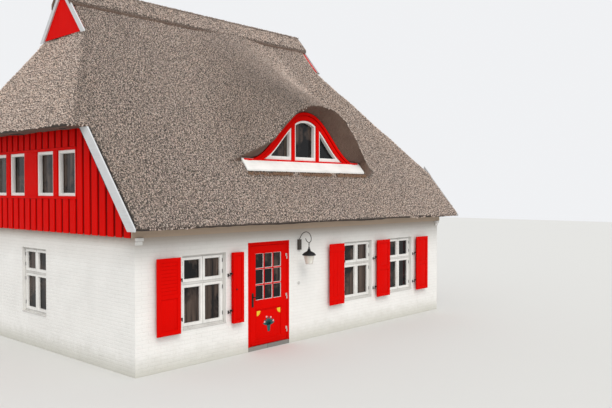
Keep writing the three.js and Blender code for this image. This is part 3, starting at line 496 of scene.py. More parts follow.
class Heap:
    """Points and faces of many small solids that will be one mesh."""

    def __init__(self):
        self.points = []
        self.faces = []

    def add(self, points, faces):
        start = len(self.points)
        self.points.extend(points)
        self.faces.extend([tuple(start + i for i in face) for face in faces])

    def block(self, x0, x1, y0, y1, z0, z1):
        self.add([(x, y, z) for z in (z0, z1) for y in (y0, y1) for x in (x0, x1)],
                 [(0, 2, 3, 1), (4, 5, 7, 6), (0, 1, 5, 4), (2, 6, 7, 3), (0, 4, 6, 2), (1, 3, 7, 5)])

    def prism(self, outline, plane, near, far):
        """A solid from an outline in the plane xz or yz, with a thickness across it."""
        count = len(outline)
        points = [in_plane(p, plane, depth) for depth in (near, far) for p in outline]
        caps = [tuple(range(count)), tuple(range(2 * count - 1, count - 1, -1))]
        self.add(points, caps + band(0, count, count))

    def frame(self, outer, inner, plane, near, far, closed=True):
        """The solid between two lines of equally many points, either rings or capped at both ends."""
        count = len(outer)
        rows = [(outer, near), (inner, near), (inner, far), (outer, far)]
        points = [in_plane(p, plane, depth) for row, depth in rows for p in row]
        faces = [face for a in range(4) for face in band(a * count, (a + 1) % 4 * count, count, closed)]
        if not closed:
            faces += [(0, count, 2 * count, 3 * count), tuple(k * count + count - 1 for k in (3, 2, 1, 0))]
        self.add(points, faces)

    def lathe(self, profile, x, y, sides=24):
        """A turned upright solid, from (radius, height) pairs that start and end at radius 0."""
        turns = [2 * math.pi * i / sides for i in range(sides)]
        points = [(x, y, profile[0][1])]
        for radius, z in profile[1:-1]:
            points += [(x + radius * math.cos(turn), y + radius * math.sin(turn), z) for turn in turns]
        points.append((x, y, profile[-1][1]))
        last = len(points) - 1
        last_ring = last - sides
        faces = [(0, 1 + (i + 1) % sides, 1 + i) for i in range(sides)]
        for ring in range(1, last_ring, sides):
            faces += band(ring, ring + sides, sides)
        faces += [(last_ring + i, last_ring + (i + 1) % sides, last) for i in range(sides)]
        self.add(points, faces)


def in_plane(point, plane, depth):
    """A point drawn in an upright plane, as a point in space at a depth across it."""
    across, height = point
    return (across, depth, height) if plane == "xz" else (depth, across, height)


def rectangle(left, right, low, high):
    return [(left, low), (right, low), (right, high), (left, high)]


def inset(outline, distance):
    """The outline moved inwards, for one that runs anticlockwise."""
    moved = []
    for i, point in enumerate(outline):
        before = np.subtract(point, outline[i - 1])
        after = np.subtract(outline[(i + 1) % len(outline)], point)
        inward = [np.array((-d[1], d[0])) / np.hypot(*d) for d in (before, after)]
        between = inward[0] + inward[1]
        moved.append(tuple(point + between * distance / max(0.12, between @ between / 2)))
    return moved


# %% Turning a heap into a piece of the cottage
def new_piece(name, mesh, finish, body, stands_for=()):
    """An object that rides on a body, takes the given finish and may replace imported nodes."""
    mesh.materials.append(finish)
    piece = bpy.data.objects.new(name, mesh)
    bpy.context.scene.collection.objects.link(piece)
    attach(piece, body)
    if stands_for:
        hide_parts(*stands_for)
    return piece


def make(name, heap, finish, body="house", stands_for=(), edge=0.0, smooth_below=30):
    """One mesh from a heap, with soft edges, riding on its body."""
    mesh = bpy.data.meshes.new(name)
    mesh.from_pydata(heap.points, [], heap.faces)
    mesh.validate()
    turn_faces_out(mesh)
    piece = new_piece(name, mesh, finish, body, stands_for)
    if smooth_below:
        mesh.shade_smooth()
        mesh.set_sharp_from_angle(angle=math.radians(smooth_below))
    if edge:
        soften(piece, edge)
    print(f"{name}: {len(mesh.polygons)} faces")
    return piece


def turn_faces_out(mesh):
    work = bmesh.new()
    work.from_mesh(mesh)
    bmesh.ops.recalc_face_normals(work, faces=work.faces)
    work.to_mesh(mesh)
    work.free()


def soften(piece, width):
    """Rounds the sharp edges of a piece by a small width."""
    bevel = piece.modifiers.new("soft_edges", "BEVEL")
    bevel.width = width
    bevel.segments = 2
    bevel.limit_method = "ANGLE"
    bevel.angle_limit = math.radians(35)


# %% [markdown]
# ## The body of the thatch
# A thatched roof has no hard edges: slopes run into half-hips and the hood over the dormer swells out
# of the slope like cloth over a knee. Modelling that by hand with loops is slow. Instead the roof is
# described as a distance: for every point in a fine lattice, how far it is outside the thatch. Planes
# are trivial to write that way, and a smooth minimum or maximum melts them into each other. The
# surface where the distance is zero is then pulled out of the lattice as quads.

# %% Driving sizes of the dormer and its hood
window_low, window_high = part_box("dormer_window")
apron_low, apron_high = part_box("dormer_apron")
dormer_x = (window_low.x + window_high.x) / 2
dormer_y = window_low.y
dormer_sill = window_low.z
arch_rise, arch_half = 1.09, 1.86
bell_crown, bell_foot = 1.1, 1.3
hood_rise, hood_base = 1.44, 3.66
hood_left, hood_right, right_fullness = 2.40, 2.35, 1.5
hood_tilt = math.tan(math.radians(28))
hood_fall = 0.5
hood_end = -0.3
cut_left_half = 1.25 * arch_half
lip_forward, lip_back_left, lip_back_right = -3.3, -3.01, -3.06
lip_thickness = 0.03
print("Dormer at x", round(dormer_x, 3), "with its sill at", round(dormer_sill, 3))


# %% Distances that melt into each other
def smooth_min(a, b, reach):
    """The lesser of two distances, rounded where they are within a reach of each other."""
    share = np.clip(0.5 + 0.5 * (b - a) / reach, 0, 1)
    return b + (a - b) * share - reach * share * (1 - share)


def smooth_max(a, b, reach):
    return -smooth_min(-a, -b, reach)


def bell(x, half):
    """Share of its height that the arch has: rounder at the crown than a wave, flatter at the foot."""
    across = np.clip(np.abs(x) / half, 0, 1)**bell_crown
    return (0.5 * (1 + np.cos(np.pi * across)))**bell_foot


def hip_rise(end):
    """How steeply a half-hip climbs from its lip to the gablet."""
    return (gablet_height - end["lip_height"]) / abs(end["gablet"] - end["lip"])


def end_distance(end, x, z, inset_by):
    """Distance outside a half-hip's plane, for its outer face or for the face of the room under it."""
    rise = hip_rise(end)
    run = (end["lip"] - x) * end["side"] - inset_by
    return (z - end["lip_height"] - rise * run) / math.hypot(1, rise)


# %% The hood: a wave that runs back into the roof
def hood_half(x):
    return np.where(x < dormer_x, hood_left, hood_right)


def hood_fullness(x):
    """Above 1 the crest stays level for longer before it falls."""
    return np.where(x < dormer_x, 1.0, right_fullness)


def hood_wave(x):
    """Height of the crest above the hood's foot."""
    across = np.clip(np.abs(x - dormer_x) / hood_half(x), 0, 1)
    return hood_rise * 0.5 * (1 + np.cos(np.pi * across**hood_fullness(x)))


def hood_distance(x, y, z):
    """Distance above the wave, which falls on beyond its ends. Steep places count less."""
    half, fullness = hood_half(x), hood_fullness(x)
    across = np.abs(x - dormer_x) / half
    within = np.clip(across, 0, 1)
    top = hood_wave(x) - hood_fall * half * np.maximum(0, across - 1)
    turn = np.pi * within**fullness
    steepness = hood_rise * 0.5 * np.pi / half * fullness * within**(fullness - 1) * np.sin(turn)
    return (z - hood_base - top - hood_tilt * (y - dormer_y)) / np.sqrt(1 + steepness**2 + hood_tilt**2)


# %% The hood's lip and the slanted cut under it
arch_slack = 0.7


def hood_lip(x):
    """Where the lip stands in plan: forward over the window, back at the sides, sooner on the left."""
    across = np.clip(np.abs(x - dormer_x) / hood_half(x), 0, 1)
    turned = np.clip((across - 0.5) / 0.3, 0, 1)
    left = (lip_back_left - lip_forward) * turned**2 * (3 - 2 * turned)
    right = (lip_back_right - lip_forward) * across**4
    return lip_forward + np.where(x < dormer_x, left, right)


def under_hood(x, y, z):
    """Distance outside the hollow between the window's plane and the lip."""
    lip = hood_lip(x)
    arch = dormer_sill + arch_rise * bell(x - dormer_x, arch_half)
    crest = hood_base + hood_wave(x)
    edge = crest + hood_tilt * (lip - dormer_y) - lip_thickness
    forward = (y - dormer_y) / (lip - dormer_y)
    above = (z - arch - (edge - arch) * forward) * arch_slack
    aside = np.maximum(x - dormer_x - arch_half, dormer_x - x - cut_left_half)
    return np.maximum(np.maximum(above, y - dormer_y), aside)


# %% The distance to the thatch at every point of a lattice
room_for_reeds = 0.014
ridge_round = 0.05
cut_melt, lip_melt, edge_melt, hip_melt = 0.02, 0.03, 0.09, 0.12
hood_melt_least, hood_melt_most, hood_melt_run = 0.03, 0.7, 1.6
apron_slot, apron_slot_depth = 0.11, 0.06


def hooded_slopes(x, y, z):
    """Distance outside both slopes and the hood, with the hollow and a slot for the apron cut out."""
    slope = (z + pitch * np.sqrt(y**2 + ridge_round**2) - ridge_height) / slope_length + room_for_reeds
    hood = np.maximum(hood_distance(x, y, z) + room_for_reeds, y - hood_end)
    hood = smooth_max(hood, hood_lip(x) - y, lip_melt)
    melt = np.clip((y - dormer_y + 0.12) / hood_melt_run, hood_melt_least, hood_melt_most)
    outside = smooth_min(slope, hood, melt)
    outside = smooth_max(outside, np.minimum(-under_hood(x, y, z), slope), cut_melt)
    beside_apron = np.abs(x - dormer_x) - arch_half - 0.01
    off_apron = np.abs(y - (apron_low.y + apron_high.y) / 2) - apron_slot
    slot = np.maximum(np.maximum(beside_apron, off_apron), np.maximum(slope - apron_slot_depth, -slope))
    return np.maximum(outside, -slot)


def thatch_distance(x, y, z):
    """Distance outside the whole thatch, a shell over the room with a way through to the dormer."""
    outside = smooth_max(hooded_slopes(x, y, z), eave_height - z + 0.004, edge_melt)
    room = (z + pitch * np.abs(y) - ridge_height + thatch_drop) / slope_length
    for end in ends:
        beyond_verge = (x - end["verge"]) * end["side"] + 0.005
        beyond_gablet = (x - end["gablet"]) * end["side"]
        above_hip = end_distance(end, x, z, 0) + room_for_reeds
        outside = smooth_max(outside, np.minimum(above_hip, beyond_gablet), hip_melt)
        outside = smooth_max(outside, np.minimum(beyond_verge, end["lip_height"] - z), edge_melt)
        room = np.maximum(room, np.minimum(z - end["lip_height"], end_distance(end, x, z, end["inset"])))
    shell = smooth_max(outside, -room, cut_melt)
    arch = z - dormer_sill - arch_rise * bell(x - dormer_x, arch_half) - hood_tilt * (y - dormer_y)
    way_in = np.maximum(arch * arch_slack, np.abs(x - dormer_x) - arch_half)
    way_in = np.maximum(way_in, np.maximum(dormer_sill - z, y))
    return smooth_max(shell, -way_in, cut_melt)


step = 0.04
reaches = ((-5.09, 5.09), (-4.0, 4.0), (eave_height, ridge_height))
lattice = [np.arange(low - 3 * step, high + 4 * step, step) for low, high in reaches]
distance = thatch_distance(*np.ix_(*lattice)).astype(np.float32)
print("Lattice of", distance.shape, "points")


# %% [markdown]
# ## From distances to a surface
# A lattice cell that has some corners inside the thatch and some outside is crossed by its surface. Each
# such cell gets one point, at the mean of the crossings on its edges, and around each crossed edge four
# neighbours are joined to a quad. Then a few slow waves make the surface a little uneven, and a modifier
# thins the mesh where it is flat.

# %% Pulling the surface out of the lattice
def surface_of(field, start, spacing):
    """A surface net: one point in each cell that the surface passes, one quad around each crossed edge."""
    inside = field < 0
    shape = tuple(n - 1 for n in field.shape)
    corners = [(i, j, k) for i in (0, 1) for j in (0, 1) for k in (0, 1)]
    held = sum(inside[i:i + shape[0], j:j + shape[1], k:k + shape[2]].astype(np.int8) for i, j, k in corners)
    cells = np.argwhere((held > 0) & (held < 8))
    number = np.full(shape, -1, np.int32)
    number[tuple(cells.T)] = np.arange(len(cells))
    value = {c: field[tuple((cells + c).T)] for c in corners}
    total, hits = np.zeros((len(cells), 3)), np.zeros(len(cells))
    for a in corners:
        for axis in range(3):
            if a[axis] == 0:
                b = tuple(1 if n == axis else a[n] for n in range(3))
                crossed = (value[a] < 0) != (value[b] < 0)
                share = value[a] / np.where(crossed, value[a] - value[b], 1)
                point = np.array(a, float) + share[:, None] * (np.array(b) - np.array(a))
                total += point * crossed[:, None]
                hits += crossed
    points = np.array(start) + spacing * (cells + total / hits[:, None])
    outward = np.stack([sum(value[c] * (1 if c[n] else -1) for c in corners) for n in range(3)], 1)
    outward /= np.linalg.norm(outward, axis=1)[:, None] + 1e-9
    return points, outward, quads_between(inside, number)


def quads_between(inside, number):
    quads = []
    for axis in range(3):
        others = [n for n in range(3) if n != axis]
        lower = [slice(None)] * 3
        upper = [slice(None)] * 3
        lower[axis], upper[axis] = slice(0, -1), slice(1, None)
        changes = inside[tuple(lower)] != inside[tuple(upper)]
        edges = np.argwhere(changes)
        keep = np.all([(edges[:, n] > 0) & (edges[:, n] < number.shape[n]) for n in others], axis=0)
        edges = edges[keep]
        ring = []
        for a, b in ((0, 0), (1, 0), (1, 1), (0, 1)):
            cell = edges.copy()
            cell[:, others[0]] -= a
            cell[:, others[1]] -= b
            ring.append(number[tuple(cell.T)])
        ring = np.stack(ring, 1)
        leaving = inside[tuple(edges.T)] ^ (axis == 1)
        ring[~leaving] = ring[~leaving][:, ::-1]
        quads.append(ring)
    return np.concatenate(quads)


roof_points, roof_outward, roof_quads = surface_of(distance, [axis[0] for axis in lattice], step)
print("Thatch surface:", len(roof_points), "points and", len(roof_quads), "quads")


# %% A gentle unevenness, since no thatcher's rule is perfectly straight
def waves(points, length, seed):
    """Smooth pseudo-random heights from -1 to 1 over a distance of about one length."""
    draw = np.random.default_rng(seed)
    total = np.zeros(len(points))
    for _ in range(9):
        direction = draw.normal(size=3)
        direction /= np.linalg.norm(direction)
        wave_length = length * draw.uniform(0.7, 1.5)
        total += np.sin(points @ direction * 2 * np.pi / wave_length + draw.uniform(0, 6.3))
    return total / 5


def kept_inside(points):
    """The points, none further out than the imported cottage."""
    return np.clip(points, np.array(cad_low), np.array(cad_high))


uneven = 0.012 * waves(roof_points, 1.1, 3) + 0.006 * waves(roof_points, 0.3, 4) - 0.006
roof_points = roof_points + roof_outward * np.clip(uneven, -0.03, 0.008)[:, None]
roof_points = kept_inside(roof_points)
print("The surface dips by up to", round(-float(uneven.min()), 3), "m")

# %% The thatch becomes one mesh, thinned where it is flat
def thin_out(piece, share):
    """Keeps a share of the faces, the modifier applied."""
    thin = piece.modifiers.new("thin", "DECIMATE")
    thin.ratio = share
    ready = piece.evaluated_get(bpy.context.evaluated_depsgraph_get())
    mesh = bpy.data.meshes.new_from_object(ready)
    piece.modifiers.clear()
    piece.data = mesh


thatch_nodes = ("thatch_front", "thatch_back", "thatch_left_half_hip", "thatch_right_half_hip",
                "dormer_hood")
thatch_mesh = bpy.data.meshes.new("thatch_body")
thatch_mesh.from_pydata(roof_points, [], roof_quads.tolist())
thatch = new_piece("thatch_body", thatch_mesh, thatch_finish, "house", thatch_nodes)
thin_out(thatch, 0.3)
for point in thatch.data.vertices:
    point.co = kept_inside(point.co)
thatch.data.shade_smooth()
print("Thatch body:", len(thatch.data.polygons), "faces")

# %% [markdown]
# ## Reed ends
# What makes thatch read as thatch is its stubble: each bundle of reeds ends a finger above the next
# one, throws a small shadow and catches a little light. Instancing on points would be the usual way,
# but a plain array of small wedges is as quick and stays one mesh. Each wedge starts under the surface,
# rises towards its cut end and points down the slope. Two attributes travel with it: how close a point
# is to the tip, and a tone of its own.

# %% Wedges of reed at a set of points
turn_spread = 0.18
length_spread, width_spread, lift_spread = (0.7, 1.35), (0.6, 1.3), (0.35, 1.25)
sunk = 0.012
flat_from, flat_over = 0.68, 0.18


def give(mesh, name, values):
    """Stores one value at every point of a mesh."""
    mesh.attributes.new(name, "FLOAT", "POINT").data.foreach_set("value", values.astype(np.float32))


def reed_wedges(name, roots, outward, down, size, seed, finish=reed_finish):
    """One wedge at each root, of about the given length, width and lift, and turned a little."""
    draw = np.random.default_rng(seed)
    count = len(roots)
    across = np.cross(down, outward)
    across /= np.linalg.norm(across, axis=1)[:, None] + 1e-9
    down = down + across * draw.normal(0, turn_spread, count)[:, None]
    across = np.cross(down, outward)
    length = size[0] * draw.uniform(*length_spread, count)[:, None]
    half = size[1] * draw.uniform(*width_spread, count)[:, None] / 2
    lift = size[2] * draw.uniform(*lift_spread, count)[:, None]
    root = roots - down * length * 0.5 - outward * sunk
    crown = roots + down * length * 0.5 + outward * lift
    heel = roots + down * length * 0.46 - outward * sunk
    points = np.stack([root, crown, heel - across * half, heel + across * half], 1).reshape(-1, 3)
    at = 4 * np.arange(count)[:, None]
    faces = np.concatenate([at + [0, 2, 1], at + [0, 1, 3], at + [1, 2, 3], at + [0, 3, 2]])
    mesh = bpy.data.meshes.new(name)
    mesh.from_pydata(kept_inside(points), [], faces.tolist())
    give(mesh, "tip", np.tile([0.0, 1.0, 0.55, 0.55], count))
    give(mesh, "tone", np.repeat(draw.uniform(0, 1, count), 4))
    # Flat places carry damp and painted shade, which darken them.
    flatness = np.clip((outward[:, 2] - flat_from) / flat_over, 0, 1)
    give(mesh, "damp_and_shade", np.repeat(flatness, 4))
    print(f"{name}: {count} reed ends")
    return new_piece(name, mesh, finish, "house")


def downhill(outward):
    """The steepest way down along the surface."""
    down = np.array([0.0, 0.0, -1.0]) - outward * -outward[:, 2:3]
    return down / (np.linalg.norm(down, axis=1)[:, None] + 1e-9)


# %% Places that stay free of reed ends
verge_margin, eave_margin, lip_margin = 0.05, 0.05, 0.04
least_upward = 0.3
roof_x, roof_y, roof_z = roof_points.T
upward = roof_outward[:, 2]

on_sill = ((np.abs(roof_x - dormer_x) < arch_half) & (roof_y > dormer_y - 0.2) & (roof_y < 0)
           & (roof_z < dormer_sill + 0.04) & (roof_z > dormer_sill - 0.2) & (upward > 0.85))
near_verge = np.zeros(len(roof_points), bool)
for end in ends:
    near_verge |= (np.abs(roof_x - end["verge"]) < verge_margin) & (roof_z < end["lip_height"])
above_slope = roof_z - (ridge_height - pitch * np.abs(roof_y)) > 0.05
on_lip = above_slope & (np.abs(roof_y - hood_lip(roof_x)) < lip_margin)
above_eave = roof_z > eave_height + eave_margin
chosen = (upward > least_upward) & above_eave & ~near_verge & ~on_sill & ~on_lip
print("Places with reed ends:", int(chosen.sum()), "of", len(chosen))

# %% Reed ends over the whole roof, part by part
on_hip = np.zeros(len(roof_points), bool)
gablet_spread = (ridge_height - gablet_height) / pitch
for end in ends:
    run = (roof_x - end["gablet"]) * end["side"]
    lip_spread = (ridge_height - end["lip_height"]) / pitch
    spread = gablet_spread + (lip_spread - gablet_spread) * run / abs(end["lip"] - end["gablet"])
    on_hip |= (run > 0) & (np.abs(roof_y) < spread)

draw = np.random.default_rng(11)
reed_size = (0.07, 0.026, 0.02)
fields = {"reed_ends_front": ~on_hip & (roof_y < 0), "reed_ends_back": ~on_hip & (roof_y >= 0),
          "reed_ends_half_hips": on_hip}
for seed, (name, field) in enumerate(fields.items()):
    here = np.flatnonzero(chosen & field)
    out = roof_outward[here]
    scatter = draw.normal(0, 0.012, (len(here), 3))
    scatter -= out * np.sum(scatter * out, axis=1)[:, None]
    reed_wedges(name, roof_points[here] + scatter, out, downhill(out), reed_size, seed)

# %% [markdown]
# ## Glass, iron, stone and boards
# By day a window seen from outside is a dark mirror, so the glass is painted nearly black as the shade of
# the room behind, glossy and very slightly wavy, with pale streaks where curtains hang behind it. Real
# refraction would cost noise and show nothing more. Iron is black with a trace of rust, and the floors get
# joints from a brick pattern.

# %% Finishes of the smaller materials
def glass_finish_of(name, dark, curtain, stretch, shine):
    """Glossy and nearly even, with streaks in a second colour where something hangs behind it."""
    material, tree, surface = finish_of(name, shine=shine)
    hung = use(tree, patches, Scale=1.1, Low=0.46, High=0.54)["Mask"]
    fold = math_of(tree, "MULTIPLY", use(tree, grain, Stretch=stretch, Low=0.35, High=0.75)["Streak"], hung)
    wire(tree, mixed(tree, fold, dark, curtain), surface["Base Color"])
    surface["Roughness"].default_value = 0.06
    ripple = use(tree, patches, Scale=2.0, Low=0.2, High=0.8)["Mask"]
    wire(tree, raised(tree, ripple, 0.004), surface["Normal"])
    return material


def metal_finish_of(name, colour, rust, roughness, metallic):
    """Hammered metal under a thin coat, with patches of rust."""
    material, tree, surface = finish_of(name, metallic)
    rusty = use(tree, patches, Scale=9.0, Low=0.55, High=0.75)["Mask"]
    wire(tree, mixed(tree, math_of(tree, "MULTIPLY", rusty, 0.5), colour, rust), surface["Base Color"])
    hammered = use(tree, speckle, Scale=120.0, Low=0.3, High=0.7)["Mask"]
    wire(tree, ranged(tree, hammered, 0.0, 1.0, roughness, roughness + 0.2), surface["Roughness"])
    wire(tree, raised(tree, hammered, 0.001), surface["Normal"])
    return material


def paved_finish_of(name, first, second, joint, width, height):
    """Slabs or boards in two tones, laid in courses with thin joints."""
    material, tree, surface = finish_of(name)
    colours = {"Color1": (*first, 1), "Color2": (*second, 1), "Mortar": (*joint, 1)}
    sizes = {"Scale": 1.0, "Mortar Size": 0.006, "Brick Width": width, "Row Height": height}
    pattern = put(tree, "ShaderNodeTexBrick", None, {"Vector": place_in(tree), **colours, **sizes})
    wire(tree, pattern.outputs["Color"], surface["Base Color"])
    worn = use(tree, speckle, Scale=60.0, Low=0.3, High=0.7)["Mask"]
    wire(tree, ranged(tree, worn, 0.0, 1.0, 0.5, 0.8), surface["Roughness"])
    wire(tree, raised(tree, worn, 0.001), surface["Normal"])
    return material


curtain_folds, lamp_streaks = (14.0, 14.0, 0.6), (20.0, 20.0, 3.0)
# The window glass is painted near-black: painted shade of the unlit room behind it.
pane_finish = glass_finish_of("window_glass", (0.006, 0.006, 0.007), (0.13, 0.09, 0.07), curtain_folds, 0.2)
lamp_finish = glass_finish_of("lantern_glass", (0.72, 0.70, 0.62), (0.85, 0.84, 0.78), lamp_streaks, 0.5)
crook_finish = metal_finish_of("weathered_crook", (0.060, 0.050, 0.042), (0.12, 0.085, 0.06), 0.5, 0.4)
iron_finish = metal_finish_of("black_iron", (0.018, 0.018, 0.02), (0.07, 0.035, 0.02), 0.4, 0.6)
handle_finish = metal_finish_of("dark_handle", (0.015, 0.03, 0.026), (0.04, 0.05, 0.04), 0.3, 0.7)
hinge_finish = metal_finish_of("light_hinges", (0.62, 0.61, 0.58), (0.4, 0.3, 0.22), 0.3, 0.3)
stone_tones = (0.24, 0.23, 0.21), (0.19, 0.18, 0.17), (0.1, 0.1, 0.09)
board_tones = (0.36, 0.23, 0.12), (0.30, 0.19, 0.10), (0.05, 0.03, 0.02)
stone_finish = paved_finish_of("stone_floor", *stone_tones, 0.6, 0.3)
board_finish = paved_finish_of("floorboards", *board_tones, 2.4, 0.16)
print("Smaller finishes are ready")

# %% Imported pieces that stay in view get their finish
def lay(finish, *nodes):
    for node in nodes:
        mesh = frame["nodes"][node].data
        mesh.materials.clear()
        mesh.materials.append(finish)


lay(joint_finish, "front_wall_left", "front_wall_right", "front_wall_over_door", "back_wall",
    "left_gable_wall", "right_gable_wall")
lay(pane_finish, *[node for node in frame["nodes"] if node.endswith("_glass")])
lay(lamp_finish, "lantern_glass")
lay(stone_finish, "ground_floor")
lay(board_finish, "upper_floor")
lay(red_shaded, "left_gable_boarding", "right_gable_boarding")
lay(red_upright, "left_gablet_boards", "right_gablet_boards")
barges = [f"{side}_{face}_barge_board" for side in ("left", "right") for face in ("front", "back")]
barges += ["left_gablet_barge", "right_gablet_barge"]
lay(white_sloping, *barges)
lay(white_level, "dormer_apron")
for node in (*barges, "dormer_apron"):
    soften(frame["nodes"][node], 0.004)
print("Barge boards and apron are softened:", len(barges) + 1)

# %% [markdown]
# ## Bricks under many coats of paint
# A painted brick wall is not flat: each brick is a low cushion between joints that the paint has nearly
# filled. The wall is laid course by course in running bond, and a brick that meets an opening is cut
# like the mason would cut it. The same function serves all four walls, since it is told how a place
# along the wall becomes a point in space.

# %% Bricks laid in courses and cut at the openings
course_height = 0.066
brick_module = 0.25
joint_width = 0.009
brick_proud, brick_sunk, brick_ease = 0.002, 0.002, 0.004
smallest_bit = 0.012


def parts_outside(brick, openings):
    """What is left of a brick beside, under or over an opening."""
    left, right, low, high = brick
    for near, far, bottom, top in openings:
        if left < far and right > near and low < top and high > bottom:
            middle = (max(left, near), min(right, far))
            parts = [(left, min(right, near), low, high), (max(left, far), right, low, high),
                     (*middle, low, min(high, bottom)), (*middle, max(low, top), high)]
            return [p for p in parts if p[1] - p[0] > smallest_bit and p[3] - p[2] > smallest_bit]
    return [brick]


def add_brick(heap, brick, place, out):
    """A brick with sloping edges, whose back lies just inside the wall."""
    left, right, low, high = brick
    back = [place(a, -brick_sunk, z) for a, z in rectangle(left, right, low, high)]
    eased = rectangle(left + brick_ease, right - brick_ease, low + brick_ease, high - brick_ease)
    face = [place(a, out, z) for a, z in eased]
    heap.add(back + face, [(3, 2, 1, 0), (4, 5, 6, 7)] + band(0, 4, 4))


def brick_face(name, left, right, openings, place, seed):
    """One wall's bricks from the ground to its top, in running bond."""
    draw = np.random.default_rng(seed)
    heap = Heap()
    rows = round(wall_high.z / course_height)
    tall = wall_high.z / rows
    for row in range(rows):
        low = row * tall + joint_width / 2
        start = left - (row % 2) * brick_module / 2
        for near in np.arange(start, right, brick_module):
            first = max(near, left) + joint_width / 2
            last = min(near + brick_module, right) - joint_width / 2
            if last - first > smallest_bit:
                out = brick_proud * draw.uniform(0.7, 1.1)
                for part in parts_outside((first, last, low, low + tall - joint_width), openings):
                    add_brick(heap, part, place, out)
    make(name, heap, brick_finish, smooth_below=0)


def opening_of(glass, across):
    """The hole in the masonry around a pane: left, right, bottom and top."""
    low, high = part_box(glass)
    side, end = 0.0703, 0.0603
    return (low[across] - side, high[across] + side, low.z - end, high.z + end)


# %% The four walls
doorway_low, doorway_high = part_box("door_frame")
doorway = (doorway_low.x, doorway_high.x, 0.0, doorway_high.z)
front_holes = [opening_of(f"front_window_{n}_glass", 0) for n in (1, 2, 3)]
back_holes = [opening_of(f"back_window_{n}_glass", 0) for n in (1, 2)]
left_holes = [opening_of("left_gable_lower_window_glass", 1)]
right_holes = [opening_of("right_gable_lower_window_glass", 1)]

along_front, along_gable = (wall_low.x, wall_high.x), (wall_low.y, wall_high.y)
front_holes_and_door = front_holes + [doorway]
brick_face("bricks_front", *along_front, front_holes_and_door,
           lambda a, out, z: (a, wall_low.y - out, z), 21)
brick_face("bricks_back", *along_front, back_holes, lambda a, out, z: (a, wall_high.y + out, z), 22)
brick_face("bricks_left_gable", *along_gable, left_holes, lambda a, out, z: (wall_low.x - out, a, z), 23)
brick_face("bricks_right_gable", *along_gable, right_holes, lambda a, out, z: (wall_high.x + out, a, z), 24)

# %% Stepped corbels at the corners, and the board under the eave, painted brown as shade
corbel_wide, corbel_step, corbel_rows = 0.13, 0.035, 2
corbel_foot, corbel_joint = 2.176, 0.008
corbels = Heap()
for side, face in ((-1, wall_low.y), (1, wall_high.y)):
    for left in (wall_low.x, wall_high.x - corbel_wide):
        for row in range(corbel_rows):
            low = corbel_foot + row * course_height
            near, far = sorted((face, face + side * corbel_step * (row + 1)))
            corbels.block(left, left + corbel_wide, near, far, low, low + course_height - corbel_joint)
make("corner_corbels", corbels, corbel_finish, edge=0.006)

eave_board_near, eave_board_far, eave_board_top = 3.5015, 3.53, 2.488
eave_board_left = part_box("left_gable_boarding")[0].x - 0.025
eave_board_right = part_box("right_gable_boarding")[1].x + 0.025
eave_boards = Heap()
for side in (-1, 1):
    near, far = sorted((side * eave_board_near, side * eave_board_far))
    eave_boards.block(eave_board_left, eave_board_right, near, far, wall_high.z - 0.012, eave_board_top)
make("eave_boards", eave_boards, shaded_eave_board, edge=0.004)

# %% [markdown]
# ## Timber gables
# Upright red boards with open joints cover the gables. The dark line between two boards is the shadow in
# the joint, deepened by painted shade: the boarding behind is painted a deep dull red. Board tops follow the
# underside of the thatch. The band of small windows has red posts and white sashes that are slightly set
# back.

# %% Upright boards that follow the roof and leave the window band free
board_module, board_gap, board_thick = 0.25, 0.07, 0.022
gable_edge = wall_high.y
roof_clearance, band_clearance = 0.008, 0.004
board_drip = 0.014


def board_top(y, hip_limit):
    """Where a board ends under the slope or, nearer the middle, under the half-hip."""
    return min(ridge_height - thatch_drop - pitch * abs(y), hip_limit) - roof_clearance


def gable_boards(end):
    """The boards of one gable. Returns where the gable's own face lies."""
    low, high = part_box(f"{end['word']}_gable_boarding")
    band_low, band_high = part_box(f"{end['word']}_gable_window")
    band_half = band_high.y
    face = low.x if end["side"] < 0 else high.x
    run = abs(end["lip"] - face) - board_thick - end["inset"]
    hip_limit = end["lip_height"] + hip_rise(end) * max(0, run)
    regular = np.arange(-gable_edge, gable_edge + 0.01, board_module)
    clear = [c for c in regular if abs(abs(c) - band_half) > board_module / 2]
    cuts = sorted(clear + [-band_half, band_half])
    near, far = sorted((face, face + end["side"] * board_thick))
    heap = Heap()
    for y0, y1 in zip(cuts, cuts[1:]):
        y0, y1 = y0 + board_gap / 2, y1 - board_gap / 2
        foot = wall_high.z - board_drip
        if max(abs(y0), abs(y1)) < band_half:
            heap.prism(rectangle(y0, y1, foot, band_low.z - band_clearance), "yz", near, far)
            foot = band_high.z + band_clearance
        top0, top1 = board_top(y0, hip_limit), board_top(y1, hip_limit)
        heap.prism([(y0, foot), (y1, foot), (y1, top1), (y0, top0)], "yz", near, far)
    make(f"{end['word']}_gable_boards", heap, red_upright, edge=0.003)
    return face


for end in ends:
    end["face"] = gable_boards(end)

# %% [markdown]
# ## Heads of the barge boards
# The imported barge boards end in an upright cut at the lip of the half-hip. The real ones run on until the
# thatch hides them, so a short head continues each one along the slope and tucks under the half-hip.

# %% Heads of the barge boards, from their upright cut up under the half-hips
barge_depth, tucked_in, head_ease = 0.29, 0.012, 0.0005
heads = Heap()
for end in ends:
    for side, word in ((-1, "front"), (1, "back")):
        low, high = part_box(f"{end['word']}_{word}_barge_board")
        cut = high.y if side < 0 else low.y
        top = end["lip_height"] + tucked_in
        top_run = (top - high.z) / pitch
        foot_run = top_run + barge_depth / pitch
        outline = [(cut, high.z - barge_depth), (cut, high.z), (cut - side * top_run, top),
                   (cut - side * foot_run, top)]
        heads.prism(outline, "yz", low.x + head_ease, high.x - head_ease)
make("barge_heads", heads, white_sloping)

# %% Red posts and white sashes of the window bands
lights = [(-1.71, -1.07), (-0.90, -0.26), (0.26, 0.90), (1.07, 1.71)]
sash_wide, band_rail, sash_start, open_joint = 0.05, 0.05, 0.052, 0.002


def depth_from(end, near, far):
    """Two depths along X, ordered, counted inwards from a gable's face."""
    return sorted((end["face"] - end["side"] * near, end["face"] - end["side"] * far))


